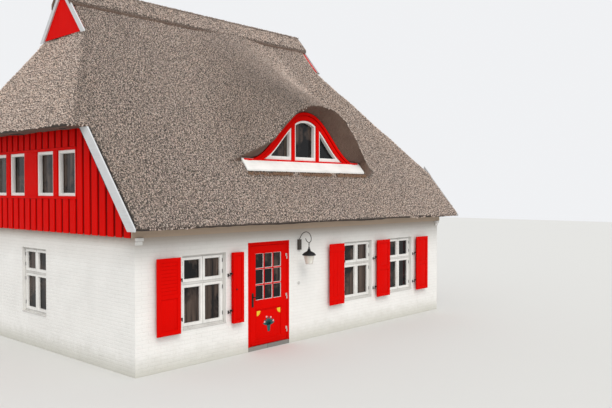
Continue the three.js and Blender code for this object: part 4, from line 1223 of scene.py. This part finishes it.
def window_band(end):
    """Posts between the lights, rails over and under them, and a sash with a bead in each."""
    node = f"{end['word']}_gable_window"
    low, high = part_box(node)
    posts, sashes = Heap(), Heap()
    edges = [low.y] + [y for light in lights for y in light] + [high.y]
    for near, far in zip(edges[::2], edges[1::2]):
        post = rectangle(near + open_joint, far - open_joint, low.z + band_rail, high.z - band_rail)
        posts.prism(post, "yz", *depth_from(end, -0.012, 0.09))
    for bottom, top in ((low.z, low.z + band_rail), (high.z - band_rail, high.z)):
        posts.prism(rectangle(low.y, high.y, bottom, top), "yz", *depth_from(end, -0.022, 0.09))
    for near, far in lights:
        outer = rectangle(near + open_joint, far - open_joint, low.z + sash_start, high.z - sash_start)
        inner = inset(outer, sash_wide)
        sashes.frame(outer, inner, "yz", *depth_from(end, 0.012, 0.085))
        sashes.frame(inner, inset(inner, 0.01), "yz", *depth_from(end, 0.03, 0.08))
    make(f"{end['word']}_gable_posts", posts, red_upright, edge=0.004)
    make(f"{end['word']}_gable_sashes", sashes, white_upright, stands_for=(node,),
         edge=0.004)


for end in ends:
    window_band(end)

# %% [markdown]
# ## The dormer under the hood
# The arch over the dormer is shaped like a bell, and every board in it lies between two such bells. A
# frame between an outer and an inner bell makes one step of the moulding. Three of them at different
# depths make the whole arch, and the lights between its posts end under the innermost bell.

# %% Red arch with its steps, posts and sill line
inner_rise, inner_half = 0.92, 1.55
light_half, post_wide = 0.34, 0.095
sill_half, sill_proud, sill_top = 1.8, 0.036, 0.05
post_proud, post_tuck = 0.03, 0.02
dormer_back = window_high.y


def arch_line(share, steps=64):
    """The bell a share of the way from the arch's outer edge to the lights."""
    half = arch_half + (inner_half - arch_half) * share
    rise = arch_rise + (inner_rise - arch_rise) * share
    across = np.linspace(-1, 1, steps + 1) * (half - 0.02)
    return [(dormer_x + a, dormer_sill + 0.006 + rise * float(bell(a, half))) for a in across]


def light_top(x):
    """Height of the innermost bell at a distance from the dormer's middle."""
    return dormer_sill + inner_rise * float(bell(x, inner_half))


arch = Heap()
for outer, inner, proud in ((0.0, 0.36, 0.042), (0.36, 0.46, 0.004), (0.46, 1.0, 0.026)):
    arch.frame(arch_line(outer), arch_line(inner), "xz", dormer_y - proud, dormer_back, closed=False)
for side in (-1, 1):
    near, far = sorted((side * light_half, side * (light_half + post_wide)))
    post = [(dormer_x + near, dormer_sill), (dormer_x + far, dormer_sill),
            (dormer_x + far, light_top(far) + post_tuck), (dormer_x + near, light_top(near) + post_tuck)]
    arch.prism(post, "xz", dormer_y - post_proud, dormer_back)
arch.block(dormer_x - sill_half, dormer_x + sill_half, dormer_y - sill_proud, dormer_back,
           dormer_sill + 0.001, dormer_sill + sill_top)
make("dormer_arch", arch, red_level, stands_for=("dormer_window",), edge=0.004)

# %% White sashes under the arch
sash_low = dormer_sill + 0.058
glass_low = dormer_sill + 0.125
rail = 0.045
sash_steps = 20


def arched_light(left, right, low, lowered):
    """Outline of a light: level below, the bell above."""
    across = np.linspace(right, left, sash_steps + 1)
    top = [(dormer_x + x, light_top(x) - lowered) for x in across]
    return [(dormer_x + left, low), (dormer_x + right, low)] + top


dormer_sashes = Heap()
side_outer, side_inner = (light_half + post_wide, 1.19), (light_half + post_wide + rail, 1.02)
spans = [((-light_half, light_half), (-light_half + rail, light_half - rail)), (side_outer, side_inner),
         ((-side_outer[1], -side_outer[0]), (-side_inner[1], -side_inner[0]))]
for outer, inner in spans:
    dormer_sashes.frame(arched_light(*outer, sash_low, 0.001), arched_light(*inner, glass_low, rail), "xz",
                        dormer_y - 0.006, dormer_back)
make("dormer_sashes", dormer_sashes, white_upright, edge=0.003)

# %% Orange-brown reeds that stick out under the apron
fringe_finish = reed_end_finish("reed_fringe", 0.4, 0.75)
fringe_draw = np.random.default_rng(5)
fringe_count = 620
fringe_x = np.linspace(apron_low.x, apron_high.x, fringe_count) + fringe_draw.normal(0, 0.002, fringe_count)
fringe_tufts = waves(np.stack([fringe_x, 0 * fringe_x, 0 * fringe_x], 1), 0.45, 7)
fringe_tufts += fringe_draw.normal(0, 0.35, fringe_count)
fringe_x = fringe_x[fringe_tufts > 0]
fringe_count = len(fringe_x)
fringe_y = apron_low.y - 0.006 - fringe_draw.uniform(0, 0.045, fringe_count)
fringe_z = ridge_height + pitch * fringe_y + 0.004
slope_out = np.tile(np.array([0, -pitch, 1]) / slope_length, (fringe_count, 1))
slope_down = np.tile(np.array([0, -1, -pitch]) / slope_length, (fringe_count, 1))
fringe_size = (0.085, 0.016, 0.03)
fringe_points = np.stack([fringe_x, fringe_y, fringe_z], 1)
reed_wedges("apron_fringe", fringe_points, slope_out, slope_down, fringe_size, 6, fringe_finish)

# %% [markdown]
# ## Windows of the ground storey
# Seven windows share one drawing: a weathered outer frame with a mullion and a transom, four bright
# sashes with a thin open joint around each, beads against the glass, small dark hinges and a drip
# sill. The drawing is made in the window's own plane and then turned into its wall.

# %% One drawing for all windows
class TurnedHeap(Heap):
    """A heap whose points are drawn facing -Y from a corner, and then turned and moved."""

    def __init__(self, x, y, quarter_turns=0):
        super().__init__()
        angle = quarter_turns * math.pi / 2
        self.matrix = Matrix.Translation((x, y, 0)) @ Matrix.Rotation(angle, 4, "Z")

    def add(self, points, faces):
        super().add([tuple(self.matrix @ Vector(p)) for p in points], faces)


window_wide, window_foot, window_top = 0.99, 0.64, 1.94
frame_bar, frame_ease = 0.036, 0.001
frame_low, frame_high = 0.688, 1.907
mullion, transom = (0.489, 0.501), (1.421, 1.464)
light_spans = [(0.083, 0.445), (0.545, 0.907)]
light_heights = [(0.735, 1.375), (1.51, 1.86)]
sash_border, bead_wide = 0.043, 0.009
hinge_heights, hinge_aside, hinge_half_tall = (0.83, 1.31, 1.60, 1.80), 0.038, 0.035


def window_frame(heap):
    """Outer frame, mullion, transom and drip sill."""
    outer = inset(rectangle(0, window_wide, window_foot, window_top), frame_ease)
    inner = rectangle(frame_bar, window_wide - frame_bar, frame_low, frame_high)
    heap.frame(outer, inner, "xz", 0.065, 0.135)
    heap.block(*mullion, 0.07, 0.133, frame_low, frame_high)
    heap.block(frame_bar, window_wide - frame_bar, 0.056, 0.133, *transom)
    heap.block(0.002, window_wide - 0.002, -0.012, 0.07, 0.641, 0.656)


def window_sashes(heap):
    """A sash around each light, with a bead against the glass."""
    for left, right in light_spans:
        for low, high in light_heights:
            light = rectangle(left, right, low, high)
            heap.frame(inset(light, -sash_border), light, "xz", 0.059, 0.108)
            heap.frame(light, inset(light, bead_wide), "xz", 0.074, 0.104)


def window_hinges(heap):
    for x in (hinge_aside, window_wide - hinge_aside):
        for z in hinge_heights:
            heap.block(x - 0.006, x + 0.006, 0.051, 0.064, z - hinge_half_tall, z + hinge_half_tall)


def dress_window(node, x, y, turns):
    """The three pieces of one window, from its corner in its wall."""
    for word, draw_it, finish, slot_name, stands_for in (
            ("frame", window_frame, white_old, "white_painted_wood", (node,)),
            ("sashes", window_sashes, white_upright, "white_painted_wood", ()),
            ("sash_hinges", window_hinges, iron_finish, "black_iron", ())):
        heap = TurnedHeap(x, y, turns)
        draw_it(heap)
        make(f"{node}_{word}", heap, finish, stands_for=stands_for, edge=0.003)


window_places = [(f"front_window_{n + 1}", hole[0], wall_low.y, 0) for n, hole in enumerate(front_holes)]
window_places += [(f"back_window_{n + 1}", hole[1], wall_high.y, 2) for n, hole in enumerate(back_holes)]
window_places += [("left_gable_lower_window", wall_low.x, left_holes[0][1], 3),
                  ("right_gable_lower_window", wall_high.x, right_holes[0][0], 1)]
for window_place in window_places:
    dress_window(*window_place)

# %% [markdown]
# ## Shutters on their pintles
# Every leaf is drawn outwards from its pin, so the drawing can be mirrored by a sign. The iron strap
# lies against the leaf's back and ends in a knuckle that sits on the wall's pintle.

# %% Pintles on the wall
strap_heights = (0.863, 1.545)
pin_out, pin_aside, knuckle_radius, knuckle_half = 0.06, 0.05, 0.009, 0.018
pin_line = wall_low.y - pin_out
pintle_gap = 0.0156


def rod(heap, x, y, low, high, radius, sides=14):
    heap.lathe([(0, low), (radius, low), (radius, high), (0, high)], x, y, sides)


pintles = Heap()
pintle_sides = ((-1, 1), (-1, 1), (1,))
for hole, sides in zip(front_holes, pintle_sides):
    for side in sides:
        edge = hole[0] if side < 0 else hole[1]
        pin = edge + side * pin_aside
        for strap in strap_heights:
            z = strap - knuckle_half - pintle_gap
            pintles.block(pin - 0.014, pin + 0.014, wall_low.y - 0.009, wall_low.y - 0.001,
                          z - 0.03, z + 0.03)
            pintles.block(pin - 0.006, pin + 0.006, pin_line, wall_low.y - 0.003, z - 0.006, z + 0.006)
            rod(pintles, pin, pin_line, z - 0.015, z + 0.015, knuckle_radius)
make("shutter_pintles", pintles, iron_finish, edge=0.0015)

# %% Leaves with panels, leaves of boards, and the folded pair
leaf_near, leaf_far, leaf_low, leaf_high = 0.0535, 0.5385, 0.62, 1.93
leaf_front, leaf_back = pin_line - 0.040, pin_line - 0.005
leaf_middle = (leaf_low + leaf_high) / 2
border, drip_low, drip_high = 0.075, 0.01, 0.045
slats, boards = 9, 4
batten_aside, batten_half = 0.13, 0.045
pair_wide, pair_thick, pair_border = 0.26, 0.032, 0.06


def raised_field(heap, left, right, low, high, face, sunk, slope):
    """A panel whose middle stands forward, with sloping sides."""
    base = rectangle(left, right, low, high)
    top = inset(base, slope)
    points = [(x, face + sunk, z) for x, z in base] + [(x, face, z) for x, z in top]
    points += [(x, face + sunk + 0.012, z) for x, z in base]
    heap.add(points, band(0, 4, 4) + band(8, 0, 4) + [(4, 5, 6, 7), (11, 10, 9, 8)])


def panelled_leaf(heap, pin, side, louvred):
    """Two fields in a frame, the upper one of slats if the leaf is louvred, and a drip bar."""
    left, right = sorted((pin + side * leaf_near, pin + side * leaf_far))
    inner_left, inner_right = left + border, right - border
    rail_low, rail_high = leaf_middle - border / 2, leaf_middle + border / 2
    outer = rectangle(left, right, leaf_low, leaf_high)
    heap.frame(outer, inset(outer, border), "xz", leaf_front, leaf_back)
    heap.block(inner_left, inner_right, leaf_front, leaf_back, rail_low, rail_high)
    for low, high in ((leaf_low + border, rail_low), (rail_high, leaf_high - border)):
        if louvred and low > leaf_middle:
            tall = (high - low) / slats
            for n in range(slats):
                heap.block(inner_left, inner_right, leaf_front + 0.006, leaf_back - 0.006,
                           low + n * tall + 0.001, low + (n + 1) * tall - 0.001)
        else:
            raised_field(heap, inner_left, inner_right, low, high, leaf_front + 0.003, 0.011, 0.04)
    heap.block(left + drip_low, right - drip_low, leaf_front - 0.006, leaf_front, leaf_low + drip_low,
               leaf_low + drip_high)


def boarded_leaf(heap, pin, side):
    """Upright boards held by two battens."""
    left, right = sorted((pin + side * leaf_near, pin + side * leaf_far))
    wide = (right - left) / boards
    for n in range(boards):
        heap.block(left + n * wide + 0.002, left + (n + 1) * wide - 0.002, leaf_front + 0.006,
                   leaf_back - 0.010, leaf_low, leaf_high)
    for z in (leaf_low + batten_aside, leaf_high - batten_aside):
        heap.block(left, right, leaf_front, leaf_front + 0.010, z - batten_half, z + batten_half)


def folded_pair(heap, pin):
    """Two narrow leaves folded onto each other."""
    left, right = pin + leaf_near, pin + leaf_near + pair_wide
    for face in (leaf_front, leaf_back):
        outer = rectangle(left, right, leaf_low, leaf_high)
        heap.frame(outer, inset(outer, pair_border), "xz", face, face + pair_thick)
        raised_field(heap, left + pair_border, right - pair_border, leaf_low + pair_border,
                     leaf_high - pair_border, face + 0.004, 0.008, 0.02)


def leaf_iron(name, pin, side, reach, body, near=0.0):
    """Two straps that end in knuckles on the pintles."""
    heap = Heap()
    left, right = sorted((pin, pin + side * reach))
    for strap in strap_heights:
        low, high = strap - knuckle_half + 0.0003, strap + knuckle_half
        heap.block(left, right, pin_line - 0.006 - near, pin_line - 0.001, low, high)
        rod(heap, pin, pin_line, low, high, knuckle_radius)
    make(name, heap, iron_finish, body, edge=0.0012)


# %% The four leaves that swing, and the pair that stays folded
strap_reach, pair_strap_reach = leaf_near + 0.38, 0.30
pins = {"shutter_1_left": (front_holes[0][0] - pin_aside, -1),
        "shutter_2_left": (front_holes[1][0] - pin_aside, -1),
        "shutter_2_right": (front_holes[1][1] + pin_aside, 1),
        "shutter_3_right": (front_holes[2][1] + pin_aside, 1)}
for node, (pin, side) in pins.items():
    leaf = Heap()
    if node == "shutter_2_left":
        boarded_leaf(leaf, pin, side)
    else:
        panelled_leaf(leaf, pin, side, node == "shutter_1_left")
    make(f"{node}_leaf", leaf, red_upright, node, (node,), edge=0.0025)
    leaf_iron(f"{node}_straps", pin, side, strap_reach, node)

folded_pin = front_holes[0][1] + pin_aside
pair = Heap()
folded_pair(pair, folded_pin)
make("shutter_1_right_pair", pair, red_upright, "house", ("shutter_1_right_folded",),
     edge=0.0025)
leaf_iron("shutter_1_right_straps", folded_pin, 1, pair_strap_reach, "house", 0.001)
knob_x, knob_y, knob_z = folded_pin + 0.13, pin_line - 0.042, 1.25
knob = Heap()
knob.lathe([(0, -0.014), (0.012, -0.012), (0.012, 0.012), (0, 0.014)], 0, 0, 16)
knob.points = [(knob_x + x, knob_y - z, knob_z + y) for x, y, z in knob.points]
make("shutter_1_right_knob", knob, iron_finish, edge=0.002)

# %% [markdown]
# ## The front door
# Frame, leaf and iron stay apart, because the leaf swings. The upper half has nine panes held by white
# beads. The lower panel carries a small painted posy and two yellow fans, a common folk ornament, cut
# here as very low relief so that each colour is a real piece.

# %% Frame and leaf
leaf_left, leaf_right = -1.939, -0.961
door_face, door_back = wall_low.y + 0.012, wall_low.y + 0.057
jamb, stile = 0.065, 0.139
door_low, door_high = 0.086, 2.009
pane_left, pane_right = leaf_left + stile, leaf_right - stile
pane_low, pane_high = 0.96, 1.86
panel_low, panel_high = 0.20, 0.78
pin_x, pin_y = -0.958, wall_low.y + 0.0005

door_frame = Heap()
left, right, top = doorway[0], doorway[1], doorway[3]
foot = 0.0803
steps_of_frame = ((0.0, jamb, 0.010, 0.120), (0.0, 0.026, -0.004, 0.02), (jamb, jamb + 0.019, 0.064, 0.118))
for near, far, front, back in steps_of_frame:
    y0, y1 = wall_low.y + front, wall_low.y + back
    door_frame.block(left + near, left + far, y0, y1, foot, top - near)
    door_frame.block(right - far, right - near, y0, y1, foot, top - near)
    door_frame.block(left + far, right - far, y0, y1, top - far, top - near)
make("door_frame_steps", door_frame, red_upright, stands_for=("door_frame",),
     edge=0.0025)

bar, bar_sunk, bar_deep, glass_gap = 0.022, 0.003, 0.028, 0.0005
glass_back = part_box("door_glass")[1].y
pane_wide = (pane_right - pane_left - 2 * bar) / 3
pane_tall = (pane_high - pane_low - 2 * bar) / 3
door = Heap()
for x0, x1 in ((leaf_left, pane_left), (pane_right, leaf_right)):
    door.block(x0, x1, door_face, door_back, door_low, door_high)
for z0, z1 in ((pane_high, door_high), (panel_high, pane_low), (door_low, panel_low)):
    door.block(pane_left, pane_right, door_face, door_back, z0, z1)
outer_bar = (door_face + bar_sunk, door_face + bar_deep)
inner_bar = (glass_back + glass_gap, door_back - bar_sunk)
for n in (1, 2):
    x = pane_left + n * pane_wide + (n - 1) * bar
    z = pane_low + n * pane_tall + (n - 1) * bar
    for near, far in (outer_bar, inner_bar):
        door.block(x, x + bar, near, far, pane_low, pane_high)
        door.block(pane_left, pane_right, near, far, z, z + bar)
door.block(pane_left - 0.01, pane_right + 0.01, door_face - 0.010, door_face,
           panel_high + 0.002, panel_high + 0.02)
door.block(leaf_left + 0.02, leaf_right - 0.02, door_face - 0.012, door_face,
           door_low + 0.02, door_low + 0.06)
ring = rectangle(pane_left, pane_right, panel_low, panel_high)
door.frame(ring, inset(ring, 0.018), "xz", door_face - 0.003, door_face + 0.012)
raised_field(door, pane_left, pane_right, panel_low, panel_high, door_face + 0.003, 0.012, 0.06)
make("door_leaf_joinery", door, red_upright, "front_door", ("door_leaf",), edge=0.0025)

# %% Beads, hinges and handle
panes = [(pane_left + column * (pane_wide + bar), pane_low + row * (pane_tall + bar))
         for column in range(3) for row in range(3)]
beads = Heap()
for left, low in panes:
    pane = rectangle(left, left + pane_wide, low, low + pane_tall)
    beads.frame(pane, inset(pane, 0.007), "xz", door_face + 0.012, door_face + 0.029)
make("door_beads", beads, white_upright, "front_door")

hinge_levels, hinge_half, barrel_radius = (0.300, 0.965, 1.765), 0.055, 0.008
for name, body, side, base, face in (("door_hinges_frame", "house", 1, -1, wall_low.y + 0.010),
                                     ("door_hinges_leaf", "front_door", -1, 0, door_face)):
    hinges = Heap()
    for level in hinge_levels:
        low = level + base * hinge_half + 0.0003
        high = low + hinge_half - 0.0006
        rod(hinges, pin_x, pin_y, low, high, barrel_radius, 20)
        near, far = sorted((pin_x, pin_x + side * 0.024))
        hinges.block(near, far, face - 0.005, face - 0.0005, low, high)
    make(name, hinges, hinge_finish, body, edge=0.001)

handle = Heap()
plate = leaf_left + 0.035
handle_parts = {
    "plate": (0.0, 0.045, 0.008, 0.0003, 0.84, 1.11),
    "raised middle": (0.008, 0.037, 0.011, 0.008, 0.86, 1.09),
    "spindle": (0.013, 0.031, 0.05, 0.008, 1.021, 1.039),
    "lever": (0.012, 0.14, 0.058, 0.044, 1.021, 1.039),
    "tip": (0.125, 0.14, 0.058, 0.036, 1.021, 1.039),
}
for left, right, out, back, low, high in handle_parts.values():
    handle.block(plate + left, plate + right, door_face - out, door_face - back, low, high)
make("door_lever_and_plate", handle, handle_finish, "front_door", ("door_handle",), edge=0.003)

# %% The painted posy and fans of the lower panel
def paint_of(name, colour, dull):
    return painted_wood(name, colour, dull, along_z, 0.2, 0.4)


yellow_paint = paint_of("yellow_paint", (0.83, 0.55, 0.03), (0.5, 0.3, 0.03))
teal_paint = paint_of("teal_paint", (0.02, 0.10, 0.10), (0.01, 0.05, 0.05))
pink_paint = paint_of("pink_paint", (0.85, 0.55, 0.55), (0.6, 0.35, 0.35))
relief_near, relief_far = door_face + 0.0005, door_face + 0.0035


def petal(heap, x, z, angle, length, half):
    """A pointed leaf from its foot, outwards at an angle from upright."""
    outline = [(math.sin(math.pi * t) * half * s, t * length)
               for s, shares in ((1, (0, 0.25, 0.5, 0.75)), (-1, (1, 0.75, 0.5, 0.25))) for t in shares]
    turn, lean = math.cos(angle), math.sin(angle)
    turned = [(x + a * turn + b * lean, z - a * lean + b * turn) for a, b in outline]
    heap.prism(turned, "xz", relief_near, relief_far)


fan_reach, scallop_reach, scallop_steps = 0.084, 0.016, 5


def scalloped_fan(heap, x, z, first):
    """A quarter disc with five scallops, from its corner, starting at an angle from upright."""
    outline = [(x, z)]
    for n in range(5 * scallop_steps + 1):
        angle = first + math.pi / 2 * n / (5 * scallop_steps)
        reach = fan_reach + scallop_reach * abs(math.sin(math.pi * n / scallop_steps))
        outline.append((x + reach * math.sin(angle), z + reach * math.cos(angle)))
    heap.prism(outline, "xz", relief_near, relief_far)


fan_aside = 0.03
fans = Heap()
scalloped_fan(fans, pane_left + fan_aside, panel_high - fan_aside, math.pi / 2)
scalloped_fan(fans, pane_right - fan_aside, panel_high - fan_aside, math.pi)
make("door_fans", fans, yellow_paint, "front_door")

# %% The posy in its pot
posy, blossoms = Heap(), Heap()
posy_x, posy_z = (pane_left + pane_right) / 2, 0.40
pot_low, pot_high, pot_foot, pot_rim = posy_z - 0.08, posy_z + 0.06, 0.03, 0.05
stem = posy_z + 0.05
for degrees in (-75, -50, -25, 0, 25, 50, 75):
    petal(posy, posy_x, stem, math.radians(degrees), 0.17, 0.024)
posy.prism([(posy_x - pot_foot, pot_low), (posy_x + pot_foot, pot_low), (posy_x + pot_rim, pot_high),
            (posy_x - pot_rim, pot_high)], "xz", relief_near, relief_far)
for degrees, reach in ((-60, 0.13), (-20, 0.17), (22, 0.15), (62, 0.14)):
    lean = math.radians(degrees)
    for n in range(5):
        petal(blossoms, posy_x + math.sin(lean) * reach, stem + math.cos(lean) * reach,
              n * 2 * math.pi / 5, 0.022, 0.009)
blossoms.points = [(x, y - 0.001, z) for x, y, z in blossoms.points]
make("door_posy", posy, teal_paint, "front_door")
make("door_blossoms", blossoms, pink_paint, "front_door")

# %% [markdown]
# ## Lantern and doorbell
# The lantern hangs from a crook of round iron. A tube along a curve is again plain arithmetic: rings
# of points set square to the path.

# %% A tube along a path
def tube(heap, path, radius, sides=8):
    """Rings of points around a path, closed at both ends."""
    path = [np.array(p, float) for p in path]
    points = []
    for i, point in enumerate(path):
        ahead = path[min(i + 1, len(path) - 1)] - path[max(i - 1, 0)]
        ahead /= np.linalg.norm(ahead)
        across = np.cross(ahead, (1, 0, 0)) if abs(ahead[0]) < 0.9 else np.cross(ahead, (0, 1, 0))
        across /= np.linalg.norm(across)
        other = np.cross(ahead, across)
        points += [tuple(point + radius * (math.cos(t) * across + math.sin(t) * other))
                   for t in np.linspace(0, 2 * math.pi, sides, endpoint=False)]
    last = (len(path) - 1) * sides
    faces = [face for start in range(0, last, sides) for face in band(start, start + sides, sides)]
    heap.add(points, faces + [tuple(range(sides - 1, -1, -1)), tuple(last + k for k in range(sides))])


def smooth_path(points, steps=8):
    """A curve through all the points."""
    points = [np.array(p, float) for p in points]
    padded = [2 * points[0] - points[1]] + points + [2 * points[-1] - points[-2]]
    path = []
    for a, b, c, d in zip(padded, padded[1:], padded[2:], padded[3:]):
        for t in np.linspace(0, 1, steps, endpoint=False):
            bend = 2 * a - 5 * b + 4 * c - d
            path.append(0.5 * (2 * b + (c - a) * t + bend * t**2 + (3 * b - a - 3 * c + d) * t**3))
    return path + [points[-1]]


# %% The lantern's iron
lantern_x, lantern_out = -0.61, 0.29
lantern_y = wall_low.y - lantern_out
plate_half, plate_out, plate_low, plate_high = 0.04, 0.048, 1.87, 2.08
iron = Heap()
iron.block(lantern_x - plate_half, lantern_x + plate_half, wall_low.y - plate_out, wall_low.y - 0.0004,
           plate_low, plate_high)
crook = [(0.024, 2.04), (0.028, 2.085), (0.055, 2.13), (0.105, 2.195), (0.17, 2.232), (0.24, 2.238),
         (0.31, 2.20), (0.348, 2.13), (0.34, 2.06), (0.29, 2.03), (0.235, 2.05), (0.195, 2.105)]
tube(iron, smooth_path([(lantern_x, wall_low.y - out, z) for out, z in crook]), 0.0075)
link = [(0.014 * math.cos(t), 0.022 * math.sin(t)) for t in np.linspace(0, 2 * math.pi, 17)]
tube(iron, [(lantern_x, lantern_y + a, 2.012 + z) for a, z in link], 0.0035, 6)
tube(iron, [(lantern_x + a, lantern_y, 1.992 + z) for a, z in link], 0.0035, 6)
make("lantern_crook", iron, crook_finish, stands_for=("lantern_bracket",), edge=0.001)

cage = Heap()
glass_top, glass_foot = 1.775, 1.61
cap_steps = [(0.118, 0.001), (0.137, -0.004), (0.139, 0.010), (0.112, 0.040), (0.085, 0.058), (0.060, 0.070),
             (0.034, 0.085), (0.037, 0.095), (0.026, 0.110), (0.028, 0.125), (0.013, 0.140), (0.018, 0.155),
             (0.008, 0.175)]
cage.lathe([(0, glass_top + 0.001)] + [(radius, glass_top + up) for radius, up in cap_steps]
           + [(0.006, 1.985), (0, 1.985)], lantern_x, lantern_y, 28)
make("lantern_cap", cage, iron_finish, stands_for=("lantern_cage",))

foot = Heap()
foot.lathe([(0, 1.589), (0.03, 1.590), (0.068, 1.594), (0.075, 1.600), (0.075, glass_foot - 0.0005),
            (0, glass_foot - 0.0005)], lantern_x, lantern_y, 28)
for n in range(4):
    angle = math.pi / 4 + n * math.pi / 2
    tube(foot, [(lantern_x + r * math.cos(angle), lantern_y + r * math.sin(angle), z)
                for r, z in ((0.074, 1.603), (0.109, 1.777))], 0.0025, 6)
make("lantern_foot", foot, hinge_finish)

# %% The bell push beside the door
push_x, push_y, push_z = -0.61, wall_low.y - 0.004, 1.19
push = Heap()
push.lathe([(0, 0.0), (0.034, 0.0), (0.034, 0.006), (0.024, 0.010), (0.012, 0.010), (0.010, 0.016),
            (0, 0.017)], 0, 0, 28)
push.points = [(push_x + x, push_y - z, push_z + y) for x, y, z in push.points]
make("bell_push", push, hinge_finish)

# %% [markdown]
# ## Ridge cap
# The ridge is covered by a saddle of reed bent across it. Its own stubble lies straight down both
# sides, and its lower edges end in a cut line.

# %% A saddle with reeds bent over the ridge
cap_low, cap_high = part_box("ridge_cap")
cap_reach = cap_high.y
cap_proud, cap_thick, cap_inset = 0.02, 0.03, 0.012


def cap_height(y):
    """The saddle's height: the slopes of the roof, rounded over the ridge."""
    return ridge_height + cap_proud - pitch * (np.sqrt(y**2 + ridge_round**2) - ridge_round)


cap_rows = np.linspace(-cap_reach + cap_inset, cap_reach - cap_inset, 25)
cap_outline = [(y, float(cap_height(y))) for y in cap_rows[::-1]]
cap_outline += [(y, float(ridge_height - pitch * abs(y) - cap_thick))
                for y in (cap_rows[0], 0.0, cap_rows[-1])]
cap = Heap()
cap.prism(cap_outline, "yz", cap_low.x + 0.01, cap_high.x - 0.01)
make("ridge_saddle", cap, thatch_finish, stands_for=("ridge_cap",), smooth_below=40)

# %% Reeds down both sides of the saddle
def unit(vectors):
    return vectors / np.linalg.norm(vectors, axis=1)[:, None]


cap_draw = np.random.default_rng(31)
cap_count = 9000
cap_x = cap_draw.uniform(cap_low.x + 0.02, cap_high.x - 0.02, cap_count)
cap_y = cap_draw.uniform(-cap_reach + 0.03, cap_reach - 0.03, cap_count)
cap_slope = -pitch * cap_y / np.sqrt(cap_y**2 + ridge_round**2)
cap_out = unit(np.stack([0 * cap_y, -cap_slope, 1 + 0 * cap_y], 1))
cap_down = unit(np.stack([0 * cap_y, np.sign(cap_y), cap_slope * np.sign(cap_y)], 1))
cap_points = np.stack([cap_x, cap_y, cap_height(cap_y)], 1)
reed_wedges("ridge_reeds", cap_points, cap_out, cap_down, (0.11, 0.022, 0.014), 32)

# %% Reeds bent across the crest, so that it has no parting
crest_draw = np.random.default_rng(33)
crest_count = 1500
crest_x = crest_draw.uniform(cap_low.x + 0.03, cap_high.x - 0.03, crest_count)
crest_y = crest_draw.uniform(-0.045, 0.045, crest_count)
crest_out = np.tile(np.array([0.0, 0.0, 1.0]), (crest_count, 1))
to_front = crest_draw.uniform(size=crest_count) < 0.5
crest_down = np.stack([0 * crest_y, np.where(to_front, -1.0, 1.0), 0 * crest_y], 1)
crest_points = np.stack([crest_x, crest_y, cap_height(crest_y)], 1)
reed_wedges("crest_reeds", crest_points, crest_out, crest_down, (0.09, 0.022, 0.012), 34)
